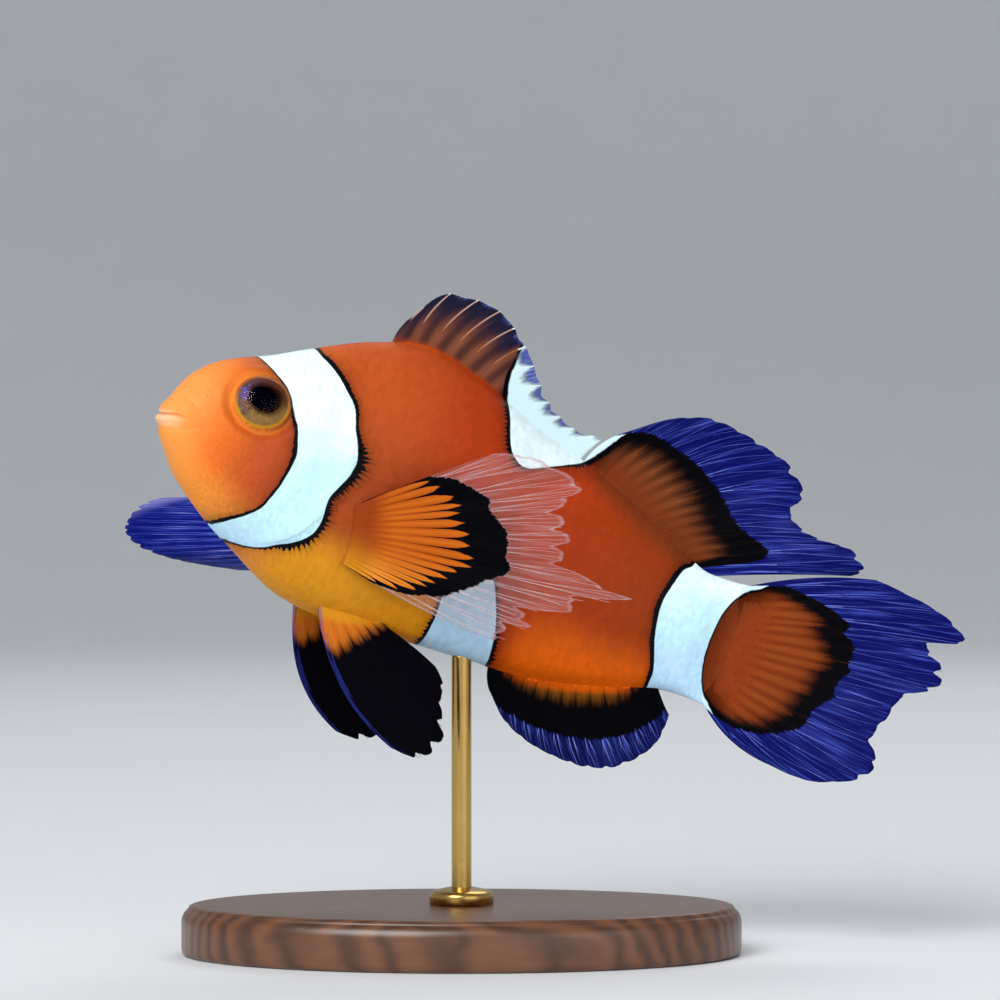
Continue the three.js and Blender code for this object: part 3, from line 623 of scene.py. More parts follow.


# In the finishes below, places and widths are in millimetres on the straight fish, or in shares of the
# eye's radius on the eye. Noise has so many cycles for each of them. Plain factors are given strengths.


def paint(code):
    """A colour as a painter names it, in screen values, turned into light values."""
    screen = [int(code[i:i + 2], 16) / 255 for i in (1, 3, 5)]
    return (*(v / 12.92 if v <= 0.04045 else ((v + 0.055) / 1.055) ** 2.4 for v in screen), 1.0)


SNOUT_GOLD = paint("#F79D4E")
FACE_ORANGE = paint("#E67124")
CHEEK_ORANGE = paint("#B84D23")
CHEEK_SPOT = paint("#CC4A1C")
JAW_GOLD = paint("#EE9A3C")
LIP_PINK = paint("#F2C8A0")
EYE_GOLD = paint("#EC9A2C")
TRUNK_ORANGE = paint("#B64E1E")
FLANK_ORANGE = paint("#A8360E")
BELLY_GOLD = paint("#D08A1C")
BELLY_YELLOW = paint("#DC8C14")
TAIL_ORANGE = paint("#8E340A")
REAR_GOLD = paint("#E06008")
PATCH_ORANGE = paint("#83340D")
RIDGE_BROWN = paint("#6A3216")
BAND_WHITE = paint("#E6F9FB")
# BAND_CYAN and BAND_SHADE are the bands' white in painted shade, lower on the body
BAND_CYAN = paint("#C6EEF0")
BAND_SHADE = paint("#B8DCF6")
# the fins' white, painted darker than the body's: a painted shade, to match the body's white where it turns
# from the light
SHADED_FIN_WHITE = paint("#CBE4EA")
INK = paint("#020106")

# washes laid over a first colour: how much x, z and the drift count in where each comes in, from where to
# where it does, its strength and its colour
FACE_WASHES = [
    (1, -0.12, 3, 0.0, 6.5, 1.0, FACE_ORANGE),
    (1, 0.1, 3, 4.4, 10.4, 1.0, CHEEK_ORANGE),
    (0, 1, 2, 5.5, 9.0, 0.5, FACE_ORANGE),
    (0, -1, 3, 2.5, 8.0, 0.4, FACE_ORANGE),
    (-0.5, -1, 3, -2.0, 2.5, 0.7, JAW_GOLD),
]
TRUNK_WASHES = [
    (1, 0, 6, 18.0, 34.0, 1.0, FLANK_ORANGE),
    (1, 0, 4, 40.0, 54.0, 1.0, TAIL_ORANGE),
]
CHEEK_SPOT_PLACE = (5.6, -1.2)
RIDGE_START, RIDGE_HEIGHT, RIDGE_FALL = 43.0, 12.0, 0.39  # of the line where the soft back fin is rooted


def washed(finish, colour, washes, x, z, drift):
    """A colour with washes laid over it."""
    for by_x, by_z, by_drift, low, high, amount, wash in washes:
        place = x * by_x + z * by_z + drift * by_drift
        colour = finish.mix(finish.step(place, low, high) * amount, colour, wash)
    return colour


def distance(x, z, middle):
    """How far a place lies from (x, z) of a middle, seen from the side."""
    return ((x - middle[0]) * (x - middle[0]) + (z - middle[1]) * (z - middle[1])).math("SQRT")


def body_colours(finish, rest, mark):
    """The fish's painted colours, and how white each place is."""
    step, mix, noise, shade = finish.step, finish.mix, finish.noise, finish.shade
    x, _, z = finish.split(rest)
    depth, ink, run = finish.split(mark)
    drift = noise(rest, 0.22, 3)
    # the face, from the golden snout to the red cheek, with a golden jaw and pale lips
    face = washed(finish, SNOUT_GOLD, FACE_WASHES, x, z, drift)
    from_spot = distance(x, z, CHEEK_SPOT_PLACE)
    face = mix(step(from_spot + drift, 1.7, 0.4) * 0.16, face, CHEEK_SPOT)
    from_eye = distance(x, z, EYE_CENTRE[::2])
    face = mix(step(from_eye + drift, 3.3, 2.95) * 0.3, face, EYE_GOLD)
    lips = step(x, 2.6, 0.6) * step((z - 0.3).math("ABSOLUTE"), 1.0, 0.3)
    face = mix(lips * 0.75, face, LIP_PINK)
    # the trunk, redder towards the tail and golden below
    trunk = washed(finish, TRUNK_ORANGE, TRUNK_WASHES, x, z, drift)
    trunk = mix(step(x, 40.0, 44.0) * step(-z + drift * 2, 2.0, 9.0), trunk, REAR_GOLD)
    trunk = mix(step(x, 60.5, 63.5), trunk, PATCH_ORANGE)
    # the back darkens to brown along the root of the soft fin
    above_ridge = z - RIDGE_HEIGHT + (x - RIDGE_START) * RIDGE_FALL
    ridge = step(x, 42.5, 45.5) * step(x, 60.0, 58.0)
    ridge = step(above_ridge + drift, -3.2, 0.2) * ridge * 0.8
    trunk = mix(ridge, trunk, RIDGE_BROWN)
    low = step(-z + drift * 2, 2.5, 8.0)
    gold = mix(step(x + drift * 2, 24.0, 31.0), BELLY_GOLD, BELLY_YELLOW)
    trunk = mix(low * (1 - step(x, 33.5, 36.0)), trunk, gold)
    # the flank below the back and above the belly is painted darker: a painted shade, as of light from above
    painted_flank_shade = step(x, 41.0, 34.0) * step(low, 1.0, 0.0) * step(z + drift * 3, 9.0, 0.5)
    trunk = shade(trunk, 1.06 - painted_flank_shade * 0.36)
    colour = mix(step(x, 13.0, 16.5), face, trunk)
    # the orange darkens beside a band, most on the cheek, the nape and the foot of the tail fin
    dusky = 0.15 + step(x, 13.6, 12.6) * 0.12 + step(x, 60.0, 61.0) * 0.3
    dusky = dusky + step(z, 4.0, 7.0) * step(x, 14.0, 16.0) * 0.1
    colour = shade(colour, 1 - step(depth, -2.8, -0.3) * dusky)
    # the black edge is drawn out into points where the band bulges
    wobble = noise(rest, 1.3, 3, 0.6)
    spaced = run * 2.4 + noise(finish.join(run, depth * 0.1, 0.0), 1.3, 2) * 2.0
    teeth = ((spaced.math("FRACT") - 0.5).math("ABSOLUTE") * 2).math("POWER", 1.25)
    teeth = teeth * (1.0 + noise(finish.join(spaced.math("FLOOR"), 0.0, 0.0), 7.7, 0) * 1.6)
    jagged = step(x, 13.6, 15.0) * step(x, 54.0, 52.0)
    jagged = 0.15 + jagged * (1 - step(z, 3.8, 5.6) * step(x, 30.0, 28.0) * 0.9) * 0.85
    edge = depth + wobble * 0.12
    reach = ink * (0.58 + teeth * 0.62 * jagged + wobble * 0.3)
    white = step(edge, -0.05, 0.05)
    black = step(edge + reach, -0.05, 0.08)
    smoke = step(edge + reach * 1.4 + 0.25, -0.3, 0.6)
    colour = mix(smoke * 0.5, colour, shade(colour, 0.35))
    # the white is palest above, then darker and bluer lower down and towards the tail: a painted shade, as of
    # light from above
    cloud = noise(rest, 0.35, 3) * 8
    shaded_white = mix(step(cloud - z, -6.5, 0.0), BAND_WHITE, BAND_CYAN)
    shaded_white = mix(step(cloud - z + x * 0.12, 3.0, 12.0), shaded_white, BAND_SHADE)
    colour = mix(black, colour, INK)
    colour = mix(white, colour, shaded_white)
    return colour, white


def skin_finish():
    finish = Finish("Clownfish skin")
    rest = finish.attribute("rest")
    colour, white = body_colours(finish, rest, finish.attribute("mark"))
    grain = finish.noise(rest, 7.0, 3, 0.6)
    pores = finish.noise(rest, 2.2, 2)
    colour = finish.shade(colour, 1.0 + grain * 0.16 + pores * 0.1)
    bump = finish.bump(grain + pores * 0.8, 0.3, 0.05)
    roughness = 0.46 + grain * 0.12 - white * 0.05
    return finish.surface(Base_Color=colour, Roughness=roughness, Normal=bump, Coat_Weight=0.03,
                          Coat_Roughness=0.25, Specular_IOR_Level=0.12)


FLESH_NODES = ["head", "lower_jaw", "gill_cover_left", "gill_cover_right", "trunk_front", "trunk_rear",
               "tail_stem"]
skin = build_skin()
skin.data.materials.append(skin_finish())
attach(skin, "root")
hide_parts(*FLESH_NODES)

# ---------------------------------------------------------------- the eyes
# Each eye is a painted ball with a dark pupil and a grey-brown iris ringed with gold, under a clear
# domed cover. It is set in the socket before the lid is closed round it.

EYE_SIDES = 72
PUPIL_EDGE = 0.43  # all as shares of the eye's radius
IRIS_EDGE = 0.86
PUPIL_PLACE = (-0.03, 0.08)  # aft and up of the eye's middle
PAINTED_FRONT = np.concatenate([np.linspace(0, 0.34, 6)[1:], np.linspace(0.37, 0.48, 6),
                                np.linspace(0.52, 0.94, 14), np.linspace(0.96, 1, 4)])
EYE_BACK = np.array([0.97, 0.9, 0.78, 0.6, 0.38, 0.15])
# how far the painted ball lies under the clear cover, from the middle of the eye to its edge
COVER_GAP = ([0, 0.3, 0.37, 0.42, 0.6, 0.85, 0.95, 1.0], [0.1, 0.16, 0.3, 0.42, 0.36, 0.2, 0.06, 0.03])

BACK_GAP, SIDE_GAP = 0.05, 0.015  # the same behind, and at the side as a share of its width


def eyeball(name, side, gap):
    """A closed flattened ball in the eye's place, lying under the cover's surface by gap."""
    shares = np.r_[PAINTED_FRONT, EYE_BACK]
    front = np.arange(len(shares)) < len(PAINTED_FRONT)
    height = EYE_RADII[1] * np.sqrt(np.clip(1 - shares**2, 0, 1)) * np.where(front, 1, -1)
    under = np.interp(shares, *COVER_GAP) * gap
    height = np.where(front, height - under, height + BACK_GAP * gap)
    width = shares * (1 - SIDE_GAP * gap)
    turn = np.arange(EYE_SIDES) / EYE_SIDES * 2 * math.pi
    rings = np.stack([
        EYE_RADII[0] * width[:, None] * np.cos(turn),
        np.repeat(height[:, None], EYE_SIDES, 1),
        EYE_RADII[2] * width[:, None] * np.sin(turn)], -1)
    poles = [[0, EYE_RADII[1] - COVER_GAP[1][0] * gap, 0], [0, -EYE_RADII[1] + BACK_GAP * gap, 0]]
    own = np.vstack([rings.reshape(-1, 3), poles])
    faces = capped_faces(len(shares), EYE_SIDES)[:, ::side]
    mesh = mesh_of(name, own @ eye_axes(side) + EYE_CENTRE * [1, side, 1], faces)
    add_vectors(mesh, "eye", own / EYE_RADII)
    pose_mesh(mesh)
    return shown(name, mesh)


def iris_finish():
    finish = Finish("Painted eye")
    step, mix, noise, shade = finish.step, finish.mix, finish.noise, finish.shade
    eye = finish.attribute("eye")
    x, _, z = finish.split(eye)
    away = distance(x, z, (0.0, 0.0))
    around = z.math("ARCTAN2", x)
    from_pupil = distance(x, z, PUPIL_PLACE)
    fibres = noise(finish.join(around * 3.0, away * 1.2, 0.0), 4.0, 3, 0.6)
    mottle = noise(eye, 5.0, 3)
    away = away + mottle * 0.05
    iris = mix(step(z + mottle, 0.5, -0.3), paint("#5A3020"), paint("#8C6A3C"))
    iris = mix(step(x + mottle, 0.0, -0.7) * 0.7, iris, paint("#54404C"))
    iris = shade(iris, 1.0 + fibres * 1.2 + mottle * 0.8)
    specks = noise(eye, 8.0, 2)
    glint = step(x * x * 2 + (z - 0.1) * (z - 0.1) * 9, 1.9, 1.1) * step(x, -0.45, -0.6)
    iris = mix(glint * step(specks, -0.05, 0.15), iris, paint("#6258D8"))
    gold = mix(step(z - x * 0.3 + mottle * 0.4, -0.5, 0.4), paint("#D89C20"), paint("#A8602A"))
    colour = mix(step(away, IRIS_EDGE - 0.06, IRIS_EDGE + 0.07), iris, gold)
    dark = from_pupil + mottle * 0.12 - step(x, 0.0, 0.6) * 0.12
    colour = mix(step(dark, PUPIL_EDGE - 0.02, PUPIL_EDGE + 0.26), paint("#140604"), colour)
    dark = from_pupil + mottle * 0.03
    colour = mix(step(dark, PUPIL_EDGE - 0.03, PUPIL_EDGE + 0.03), paint("#000004"), colour)
    colour = mix(step(away, 0.97, 1.02), colour, paint("#8A4A1A"))
    bump = finish.bump(fibres, 0.4, 0.04)
    return finish.surface(Base_Color=colour, Roughness=0.6, Normal=bump, Specular_IOR_Level=0.0)


def cover_finish():
    finish = Finish("Clear eye cover")
    clear = finish.node("ShaderNodeBsdfTransparent")
    gloss = finish.node("ShaderNodeBsdfGlossy", {"Roughness": 0.04})
    turned = finish.node("ShaderNodeFresnel", {"IOR": 1.33}) * 0.3
    both = finish.node("ShaderNodeMixShader", {0: turned, 1: clear, 2: gloss})
    finish.node("ShaderNodeOutputMaterial", {"Surface": both})
    return finish.material


iris, cover = iris_finish(), cover_finish()
for side, side_name in ((1, "left"), (-1, "right")):
    ball = eyeball("eye_painted_" + side_name, side, 1.0)
    ball.data.materials.append(iris)
    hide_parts("eye_" + side_name)
    dome = eyeball("eye_cover_" + side_name, side, 0.0)
    dome.data.materials.append(cover)
    for piece in (ball, dome):
        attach(piece, "root")

# ---------------------------------------------------------------- the fins
# Each fin is a thin clear skin, coloured near its root, stretched over soft rays that fork towards the
# edge. The rays are set into the body at the root. The front back fin has unforked spines instead.

ROOT_DEPTH = 1.2  # how far a fin's base line lies under the back or belly
BARE = 2.0  # a share of the way out that no ray reaches, for a band that isn't there

SOFT_FIN = {"lean": 0, "thick": 0.085, "edge": [(0, 0), (1, 0)]}  # what a fin has unless it says otherwise
# base: ("back" or "belly", from, to) or points; tip and bow: points; wave: height, cycles, phase;
# edge: how much shorter the fin is at places u along it; notch: the same, halfway between two rays;
# band: how far out the black band begins and ends at places u; spike: length of its points between rays;
# smoke: width of its soft inner edge; thick: radius of a ray at its root; white: the white band it shares
FINS = {
    "dorsal_fin_spiny": {
        "base": ("back", 20.4, 42.2),
        "tip": [(21.2, 0, 18.6), (23.3, 0, 22.1), (26.8, 0, 23.0), (29.9, 0, 22.8), (32.3, 0, 21.5),
                (34.2, 0, 19.8), (35.8, 0, 17.9), (37.5, 0, 16.3), (39.4, 0, 15.2), (41.6, 0, 14.6),
                (44.2, 0, 14.8)],
        "bow": [(-0.6, 0, 1.0), (0, 0, 0.6)],
        "wave": (0.3, 2, 0),
        "rays": 12, "splits": (), "lean": 0.05, "thick": 0.19,
        "notch": [(0, 0.05), (0.5, 0.04), (0.62, 0.1), (0.72, 0.16), (1, 0.1)],
        "band": [(0, 0.82, 0.98), (0.3, 0.88, 0.98), (0.43, 0.88, 0.96), (0.46, BARE, 0.82),
                 (0.5, BARE, 0.76), (0.55, BARE, 0.7), (0.66, BARE, 0.68), (0.83, BARE, 0.72),
                 (1, BARE, 0.95)],
        "spike": 0.6, "smoke": 4.0, "white": ("mid_upper",),
    },
    "dorsal_fin_soft": {
        "base": ("back", 42.9, 57.6),
        "tip": [(45.8, 0, 16.0), (49.8, 0, 19.0), (53.6, 0, 20.5), (57.0, 0, 20.4), (60.0, 0, 19.9),
                (62.9, 0, 19.0), (65.2, 0, 16.7), (64.5, 0, 14.6), (66.2, 0, 13.2), (68.6, 0, 12.8),
                (71.6, 0, 12.9), (73.4, 0, 11.6), (72.6, 0, 10.6)],
        "bow": [(-1.2, 0, 0.6), (-0.6, 0, 2.2), (0, 0, 1.6), (0, 0, 0.4)],
        "wave": (1.0, 1.6, 20),
        "rays": 16, "splits": (0.3, 0.55),
        "notch": [(0, 0.02), (0.3, 0.05), (0.6, 0.06), (1, 0.04)],
        "band": [(0, 0.62, 0.85), (0.055, 0.56, 0.73), (0.14, 0.53, 0.61), (0.22, 0.49, 0.55),
                 (0.33, 0.45, 0.53), (0.385, 0.42, 0.5), (0.49, 0.4, 0.5), (0.575, 0.43, 0.56),
                 (0.69, 0.4, 0.56), (0.79, 0.36, 0.54), (0.845, 0.3, 0.51), (0.865, 0.2, 0.49),
                 (0.88, 0.12, 0.45), (0.895, 0.08, 0.36), (0.91, 0.08, 0.12), (0.925, 0.2, 0.05),
                 (1, 0.2, 0.04)],
        "spike": 0.1, "smoke": 3.0, "white": ("mid_upper",),
    },
    "anal_fin": {
        "base": ("belly", 41.2, 57.4),
        "tip": [(42.2, 0, -13.0), (44.6, 0, -15.2), (47.4, 0, -16.4), (50.4, 0, -16.9), (53.4, 0, -16.9),
                (56.2, 0, -16.1), (58.5, 0, -14.2), (59.9, 0, -11.8), (60.1, 0, -9.0)],
        "bow": [(-0.6, 0, -0.4), (-1.0, 0, -1.2), (0, 0, -0.4)],
        "wave": (0.4, 1.2, 200),
        "rays": 13, "splits": (0.4, 0.65),
        "notch": [(0, 0.03), (1, 0.03)],
        "band": [(0, 0.0, 0.98), (0.04, 0.12, 0.96), (0.1, 0.3, 0.84), (0.2, 0.36, 0.73), (0.36, 0.36, 0.68),
                 (0.5, 0.35, 0.66), (0.65, 0.34, 0.66), (0.77, 0.34, 0.69), (0.85, 0.28, 0.7),
                 (0.9, 0.15, 0.72), (1, -0.1, 0.78)],
        "spike": 0.5, "smoke": 1.8, "white": ("mid_lower",),
    },
    "caudal_fin": {
        "base": [(62.6, 0, 5.6), (62.9, 0, -0.4), (62.6, 0, -6.4)],
        "tip": [(75.2, 0, 10.9), (79.8, 0, 10.4), (83.2, 0, 9.6), (85.4, 0, 8.0), (82.0, 0, 6.6),
                (84.0, 0, 5.0), (84.4, 0, 2.8), (81.6, 0, 0.9), (80.8, 0, -1.6), (80.0, 0, -4.2),
                (81.3, 0, -6.6), (79.8, 0, -8.8), (75.4, 0, -10.4), (71.0, 0, -10.2)],
        "bow": [(-0.6, 0, 1.2), (0, 0, 0), (-0.8, 0, -1.6)],
        "wave": (0.7, 1.3, 90),
        "rays": 17, "splits": (0.25, 0.5),
        "notch": [(0, 0.02), (0.3, 0.05), (1, 0.04)],
        "band": [(0, -0.05, 0.04), (0.04, 0.2, 0.3), (0.065, 0.26, 0.34), (0.14, 0.34, 0.42),
                 (0.21, 0.4, 0.48), (0.29, 0.46, 0.56), (0.34, 0.48, 0.6), (0.41, 0.49, 0.58),
                 (0.45, 0.52, 0.57), (0.52, 0.55, 0.64), (0.62, 0.57, 0.67), (0.7, 0.54, 0.62),
                 (0.8, 0.45, 0.52), (0.84, 0.43, 0.48), (0.89, 0.38, 0.43), (0.93, 0.28, 0.36),
                 (0.965, 0.1, 0.24), (1, -0.1, 0.1)],
        "spike": 0.5, "smoke": 2.2, "white": ("tail",),
    },
    "pectoral_fin_left": {
        "base": [(20.6, 6.8, -1.1), (21.4, 6.5, -4.0), (21.9, 5.9, -6.8)],
        "tip": [(32.0, 9.6, 8.6), (36.3, 10.6, 9.3), (41.5, 11.6, 8.4), (41.1, 11.9, 6.2), (42.6, 12.3, 3.8),
                (44.4, 12.9, 1.3), (51.4, 14.3, -0.4), (46.8, 13.5, -3.1), (43.3, 12.6, -5.4),
                (42.0, 12.0, -6.8), (39.7, 11.0, -8.7), (32.9, 8.8, -8.5)],
        "bow": [(-0.6, 1.6, 0.2), (0, 2.0, 0), (-0.4, 1.4, -0.8)],
        "wave": (0.5, 1.5, 40),
        "rays": 17, "splits": (0.35, 0.6),
        "edge": [(0, 0), (0.2, 0), (0.3, 0.04), (0.4, 0.02), (0.47, 0.1), (0.51, 0.1), (0.545, 0),
                 (0.58, 0.15), (0.62, 0.12), (0.65, 0), (0.69, 0.14), (0.74, 0.12), (0.79, 0.03),
                 (0.83, 0.12), (0.88, 0.1), (0.94, 0), (1, 0)],
        "notch": [(0, 0.03), (0.3, 0.08), (0.6, 0.1), (1, 0.06)],
        "band": [(0, 0.47, 0.51), (0.06, 0.46, 0.56), (0.13, 0.45, 0.56), (0.245, 0.47, 0.6),
                 (0.345, 0.5, 0.665), (0.41, 0.51, 0.69), (0.45, 0.5, 0.66), (0.49, 0.46, 0.6),
                 (0.54, 0.41, 0.53), (0.58, 0.4, 0.515), (0.675, 0.43, 0.545), (0.82, 0.4, 0.51),
                 (0.86, 0.38, 0.43), (1, 0.24, 0.3)],
        "spike": 5.0, "smoke": 0.2, "white": (),
    },
    "pectoral_fin_right": {
        "base": [(20.6, -6.8, -1.1), (21.4, -6.5, -4.0), (21.9, -5.9, -6.8)],
        "tip": [(15.4, -24.0, -4.2), (13.2, -27.2, -4.7), (11.5, -28.6, -5.6), (10.4, -29.6, -7.0),
                (10.0, -29.8, -8.8), (10.2, -29.4, -10.0), (11.6, -28.2, -10.9), (13.8, -26.4, -11.0),
                (16.4, -24.6, -10.6), (19.6, -21.2, -9.8)],
        "bow": [(1.2, -0.6, 1.6), (0.6, -0.4, 0.4), (0.8, -0.2, -0.6)],
        "wave": (0.5, 1.4, 10),
        "rays": 17, "splits": (0.35, 0.6),
        "notch": [(0, 0.05), (0.4, 0.03), (1, 0.03)],
        "band": [(0, 0.26, 0.36), (0.3, 0.3, 0.42), (0.6, 0.28, 0.4), (1, 0.2, 0.3)],
        "spike": 2.0, "smoke": 0.3, "white": (),
    },
    "pelvic_fin_left": {
        "base": [(21.7, 2.0, -10.5), (24.4, 2.4, -10.7), (27.2, 2.2, -10.6)],
        "tip": [(34.0, 6.2, -22.2), (36.4, 6.3, -22.0), (37.6, 6.2, -20.9), (38.2, 6.0, -19.2),
                (37.4, 5.7, -17.2), (36.8, 5.4, -15.8), (36.6, 5.0, -14.4), (35.4, 4.4, -13.0)],
        "bow": [(-3.0, 0.8, -3.2), (-1.0, 0.8, -1.0), (0, 0.4, 0.6)],
        "wave": (0.3, 1, 0),
        "rays": 6, "splits": (0.25, 0.5), "thick": 0.12,
        "notch": [(0, 0.04), (0.4, 0.08), (1, 0.05)],
        "band": [(0, 0.32, BARE), (0.1, 0.33, BARE), (0.32, 0.28, BARE), (0.6, 0.28, BARE), (1, 0.3, BARE)],
        "spike": 0.8, "smoke": 1.5, "white": (),
    },
}
FINS = {name: {**SOFT_FIN, **fin} for name, fin in FINS.items()}
PELVIC_RIGHT_FORWARD = 3.2  # how far the right pelvic fin's tip is swung ahead of the left one's
twin = dict(FINS["pelvic_fin_left"])
for key, ahead in (("base", PELVIC_RIGHT_FORWARD / 3), ("tip", PELVIC_RIGHT_FORWARD),
                   ("bow", -PELVIC_RIGHT_FORWARD / 8)):
    twin[key] = [(x - ahead, -y, z) for x, y, z in twin[key]]
FINS["pelvic_fin_right"] = twin


def spread_curve(points):
    """A smooth curve through points, as a function of u from 0 to 1."""
    p = np.asarray(points, float)
    p = np.vstack([2 * p[0] - p[1], p, 2 * p[-1] - p[-2]])
    return lambda u: curve_at(p, np.asarray(u, float) * (len(p) - 3))


def fin_sheet(fin):
    """The fin's middle sheet: a function of u along the base and v from root to tip."""
    tip, bow = spread_curve(fin["tip"]), spread_curve(fin["bow"])
    if isinstance(fin["base"][0], str):
        edge, start, end = fin["base"]

        def base(u):
            x = start + (end - start) * u
            back, belly = section(x)[:2]
            return np.stack([x, 0 * x, back - ROOT_DEPTH if edge == "back" else belly + ROOT_DEPTH], -1)
    else:
        base = spread_curve(fin["base"])
    height, cycles, phase = fin["wave"]

    def sheet(u, v):
        u, v = np.broadcast_arrays(np.asarray(u, float), np.asarray(v, float))
        root, end = base(np.clip(u, 0, 1)), tip(np.clip(u, 0, 1))
        middle = (root + end) / 2 + bow(np.clip(u, 0, 1))
        w = v[..., None]
        p = (1 - w) ** 2 * root + 2 * w * (1 - w) * middle + w * w * end
        p[..., 1] += height * v * v * np.sin(np.radians(phase + 360 * cycles * u))
        return p
    return sheet


def at_places(table, u, column=1):
    """A value from a table of places u along a fin."""
    table = np.array(table)
    return np.interp(u, table[:, 0], table[:, column])


def fin_zones(fin, sheet, u, v):
    """Where a point lies on its fin: (ray number, share of the way out, ray length) and (how far past
    the start of the black band, past its end, and a 0 that a membrane sets to how far in from its edge)."""
    length = np.linalg.norm(sheet(u, np.ones_like(u)) - sheet(u, np.zeros_like(u)), axis=-1)
    begins, ends = at_places(fin["band"], u, 1), at_places(fin["band"], u, 2)
    ray = np.stack([u * fin["rays"] + fin["lean"] * fin["rays"] * (1 - v), v, length], -1)
    return ray, np.stack([(v - begins) * length, (v - ends) * length, np.zeros_like(u)], -1)


MEMBRANE_PLACES = 8  # columns of points from one ray to the next
MEMBRANE_ROWS = 46
MEMBRANE_HALF = 0.024
ROOT_HALF, ROOT_REACH = 0.45, 2.4  # half the fin's thickness where it leaves the body, and how far that goes
PLEAT = 0.012  # how far the membrane sinks between rays
twist = np.random.default_rng(11)  # for tatters along the fins' edges and the bends of their rays


def fin_surface(fin, sheet, u, v):
    """Middle, unit normal and half thickness of a fin's membrane at places on its sheet."""
    step = 0.01
    normal = np.cross(sheet(np.minimum(u + step, 1), v) - sheet(np.maximum(u - step, 0), v),
                      sheet(u, v + step) - sheet(u, v - step))
    normal /= np.maximum(np.linalg.norm(normal, axis=-1, keepdims=True), 1e-9)
    ray = fin_zones(fin, sheet, u, v)[0]
    from_root = v * ray[..., 2]
    half = MEMBRANE_HALF + ROOT_HALF * np.exp(-((from_root / ROOT_REACH) ** 2))
    sag = PLEAT * smooth_step(from_root, 1.5, 4) * np.cos(2 * math.pi * ray[..., 0])
    return sheet(u, v) + normal * sag[..., None], normal, half


def build_membrane(name, fin):
    """The fin's skin as a thin closed sheet, pleated between its rays and notched along its edge."""
    sheet = fin_sheet(fin)
    columns, rows = fin["rays"] * MEMBRANE_PLACES, MEMBRANE_ROWS
    u = np.arange(columns + 1) / columns
    torn = twist.uniform(0.25, 1.0, fin["rays"] + 2)
    ray = u * fin["rays"]
    sharp = 2 if not fin["splits"] else 6
    gap = np.abs(np.cos(math.pi * ray)) ** sharp
    depth = at_places(fin["edge"], u) + at_places(fin["notch"], u) * gap * torn[np.round(ray).astype(int)]
    depth = depth + twist.uniform(0, 0.006, len(u))
    u, v = np.meshgrid(u, np.linspace(0, 1, rows + 1), indexing="ij")
    v = v * (1 - depth[:, None] * smooth_step(v, 0.4, 1.0))
    middle, normal, half = fin_surface(fin, sheet, u, v)
    near, far = middle + normal * half[..., None], middle - normal * half[..., None]
    points = np.concatenate([near.reshape(-1, 3), far.reshape(-1, 3)])
    wide, under = rows + 1, (columns + 1) * (rows + 1)

    def quads(a, b, c, d):
        return np.stack([np.ravel(a), np.ravel(b), np.ravel(c), np.ravel(d)], -1)

    a = (np.arange(columns)[:, None] * wide + np.arange(rows)[None, :])
    near_faces = quads(a, a + wide, a + wide + 1, a + 1)
    far_faces = quads(under + a, under + a + 1, under + a + wide + 1, under + a + wide)
    foot = np.arange(columns) * wide
    edge = foot + rows
    first, last = np.arange(rows), columns * wide + np.arange(rows)
    rims = [quads(foot, under + foot, under + foot + wide, foot + wide),
            quads(edge, edge + wide, under + edge + wide, under + edge),
            quads(first, first + 1, under + first + 1, under + first),
            quads(last, under + last, under + last + 1, last + 1)]
    mesh = mesh_of(name, points, np.vstack([near_faces, far_faces, *rims]))
    corner = corners_of(mesh)
    flat = np.stack([u.ravel(), v.ravel() * 0.48], -1)
    flat = np.vstack([flat, flat + [0, 0.51]])
    set_map(mesh, 0.005 + 0.99 * flat[corner])
    rest = pose_mesh(mesh)
    ray, zone = fin_zones(fin, sheet, u, v)
    zone[..., 2] = (1 - depth[:, None] - v) * ray[..., 2]
    add_vectors(mesh, "ray", np.tile(ray.reshape(-1, 3), (2, 1)))
    add_vectors(mesh, "zone", np.tile(zone.reshape(-1, 3), (2, 1)))
    add_vectors(mesh, "mark", markings(rest, fin["white"]))
    return shown(name + "_skin", mesh)


RAY_PLACES = 14
RAY_SIDES = 6
FORK_WIDTH = 0.25  # how far the forks of a ray spread, as a share of the way to the next ray


def ray_lines(fin):
    """Each ray's stem and forks as (u, v, thickness share) lines."""
    lines, rays = [], fin["rays"]
    if not fin["splits"]:
        for k in range(rays):
            v = np.linspace(0, 1, 2 * RAY_PLACES)
            u = (k + 0.5) / rays - fin["lean"] * (1 - v)
            lines.append((np.clip(u, 0, 1), v, 1 - 0.6 * v))
        return lines
    first, second = fin["splits"]
    for k in range(rays):
        start, fork = first + twist.uniform(-0.06, 0.06), second + twist.uniform(-0.06, 0.06)
        sway, turn = twist.uniform(0.02, 0.07), twist.uniform(0, 6)
        reach = 1 - float(at_places(fin["edge"], (k + 0.5) / rays))

        def line(v, wide, narrow):
            u = k + 0.5 + wide * smooth_step(v, start - 0.05, 1.0) + narrow * smooth_step(v, fork - 0.02, 1.0)
            return (u + sway * v * np.sin(9 * v + turn)) / rays

        v = np.linspace(0, start, RAY_PLACES)
        lines.append((line(v, 0, 0), v, 1 - 0.3 * v / start))
        for wide in (-FORK_WIDTH, FORK_WIDTH):
            v = np.linspace(start, fork, RAY_PLACES)
            lines.append((line(v, wide, 0), v, np.full(RAY_PLACES, 0.6)))
            for narrow in (-FORK_WIDTH / 2, FORK_WIDTH / 2):
                end = reach * (1 - twist.uniform(0, 0.04))
                v = np.linspace(fork, max(end, fork + 0.1), RAY_PLACES)
                lines.append((line(v, wide, narrow), v, 0.46 - 0.26 * (v - fork) / (1 - fork)))
    return lines


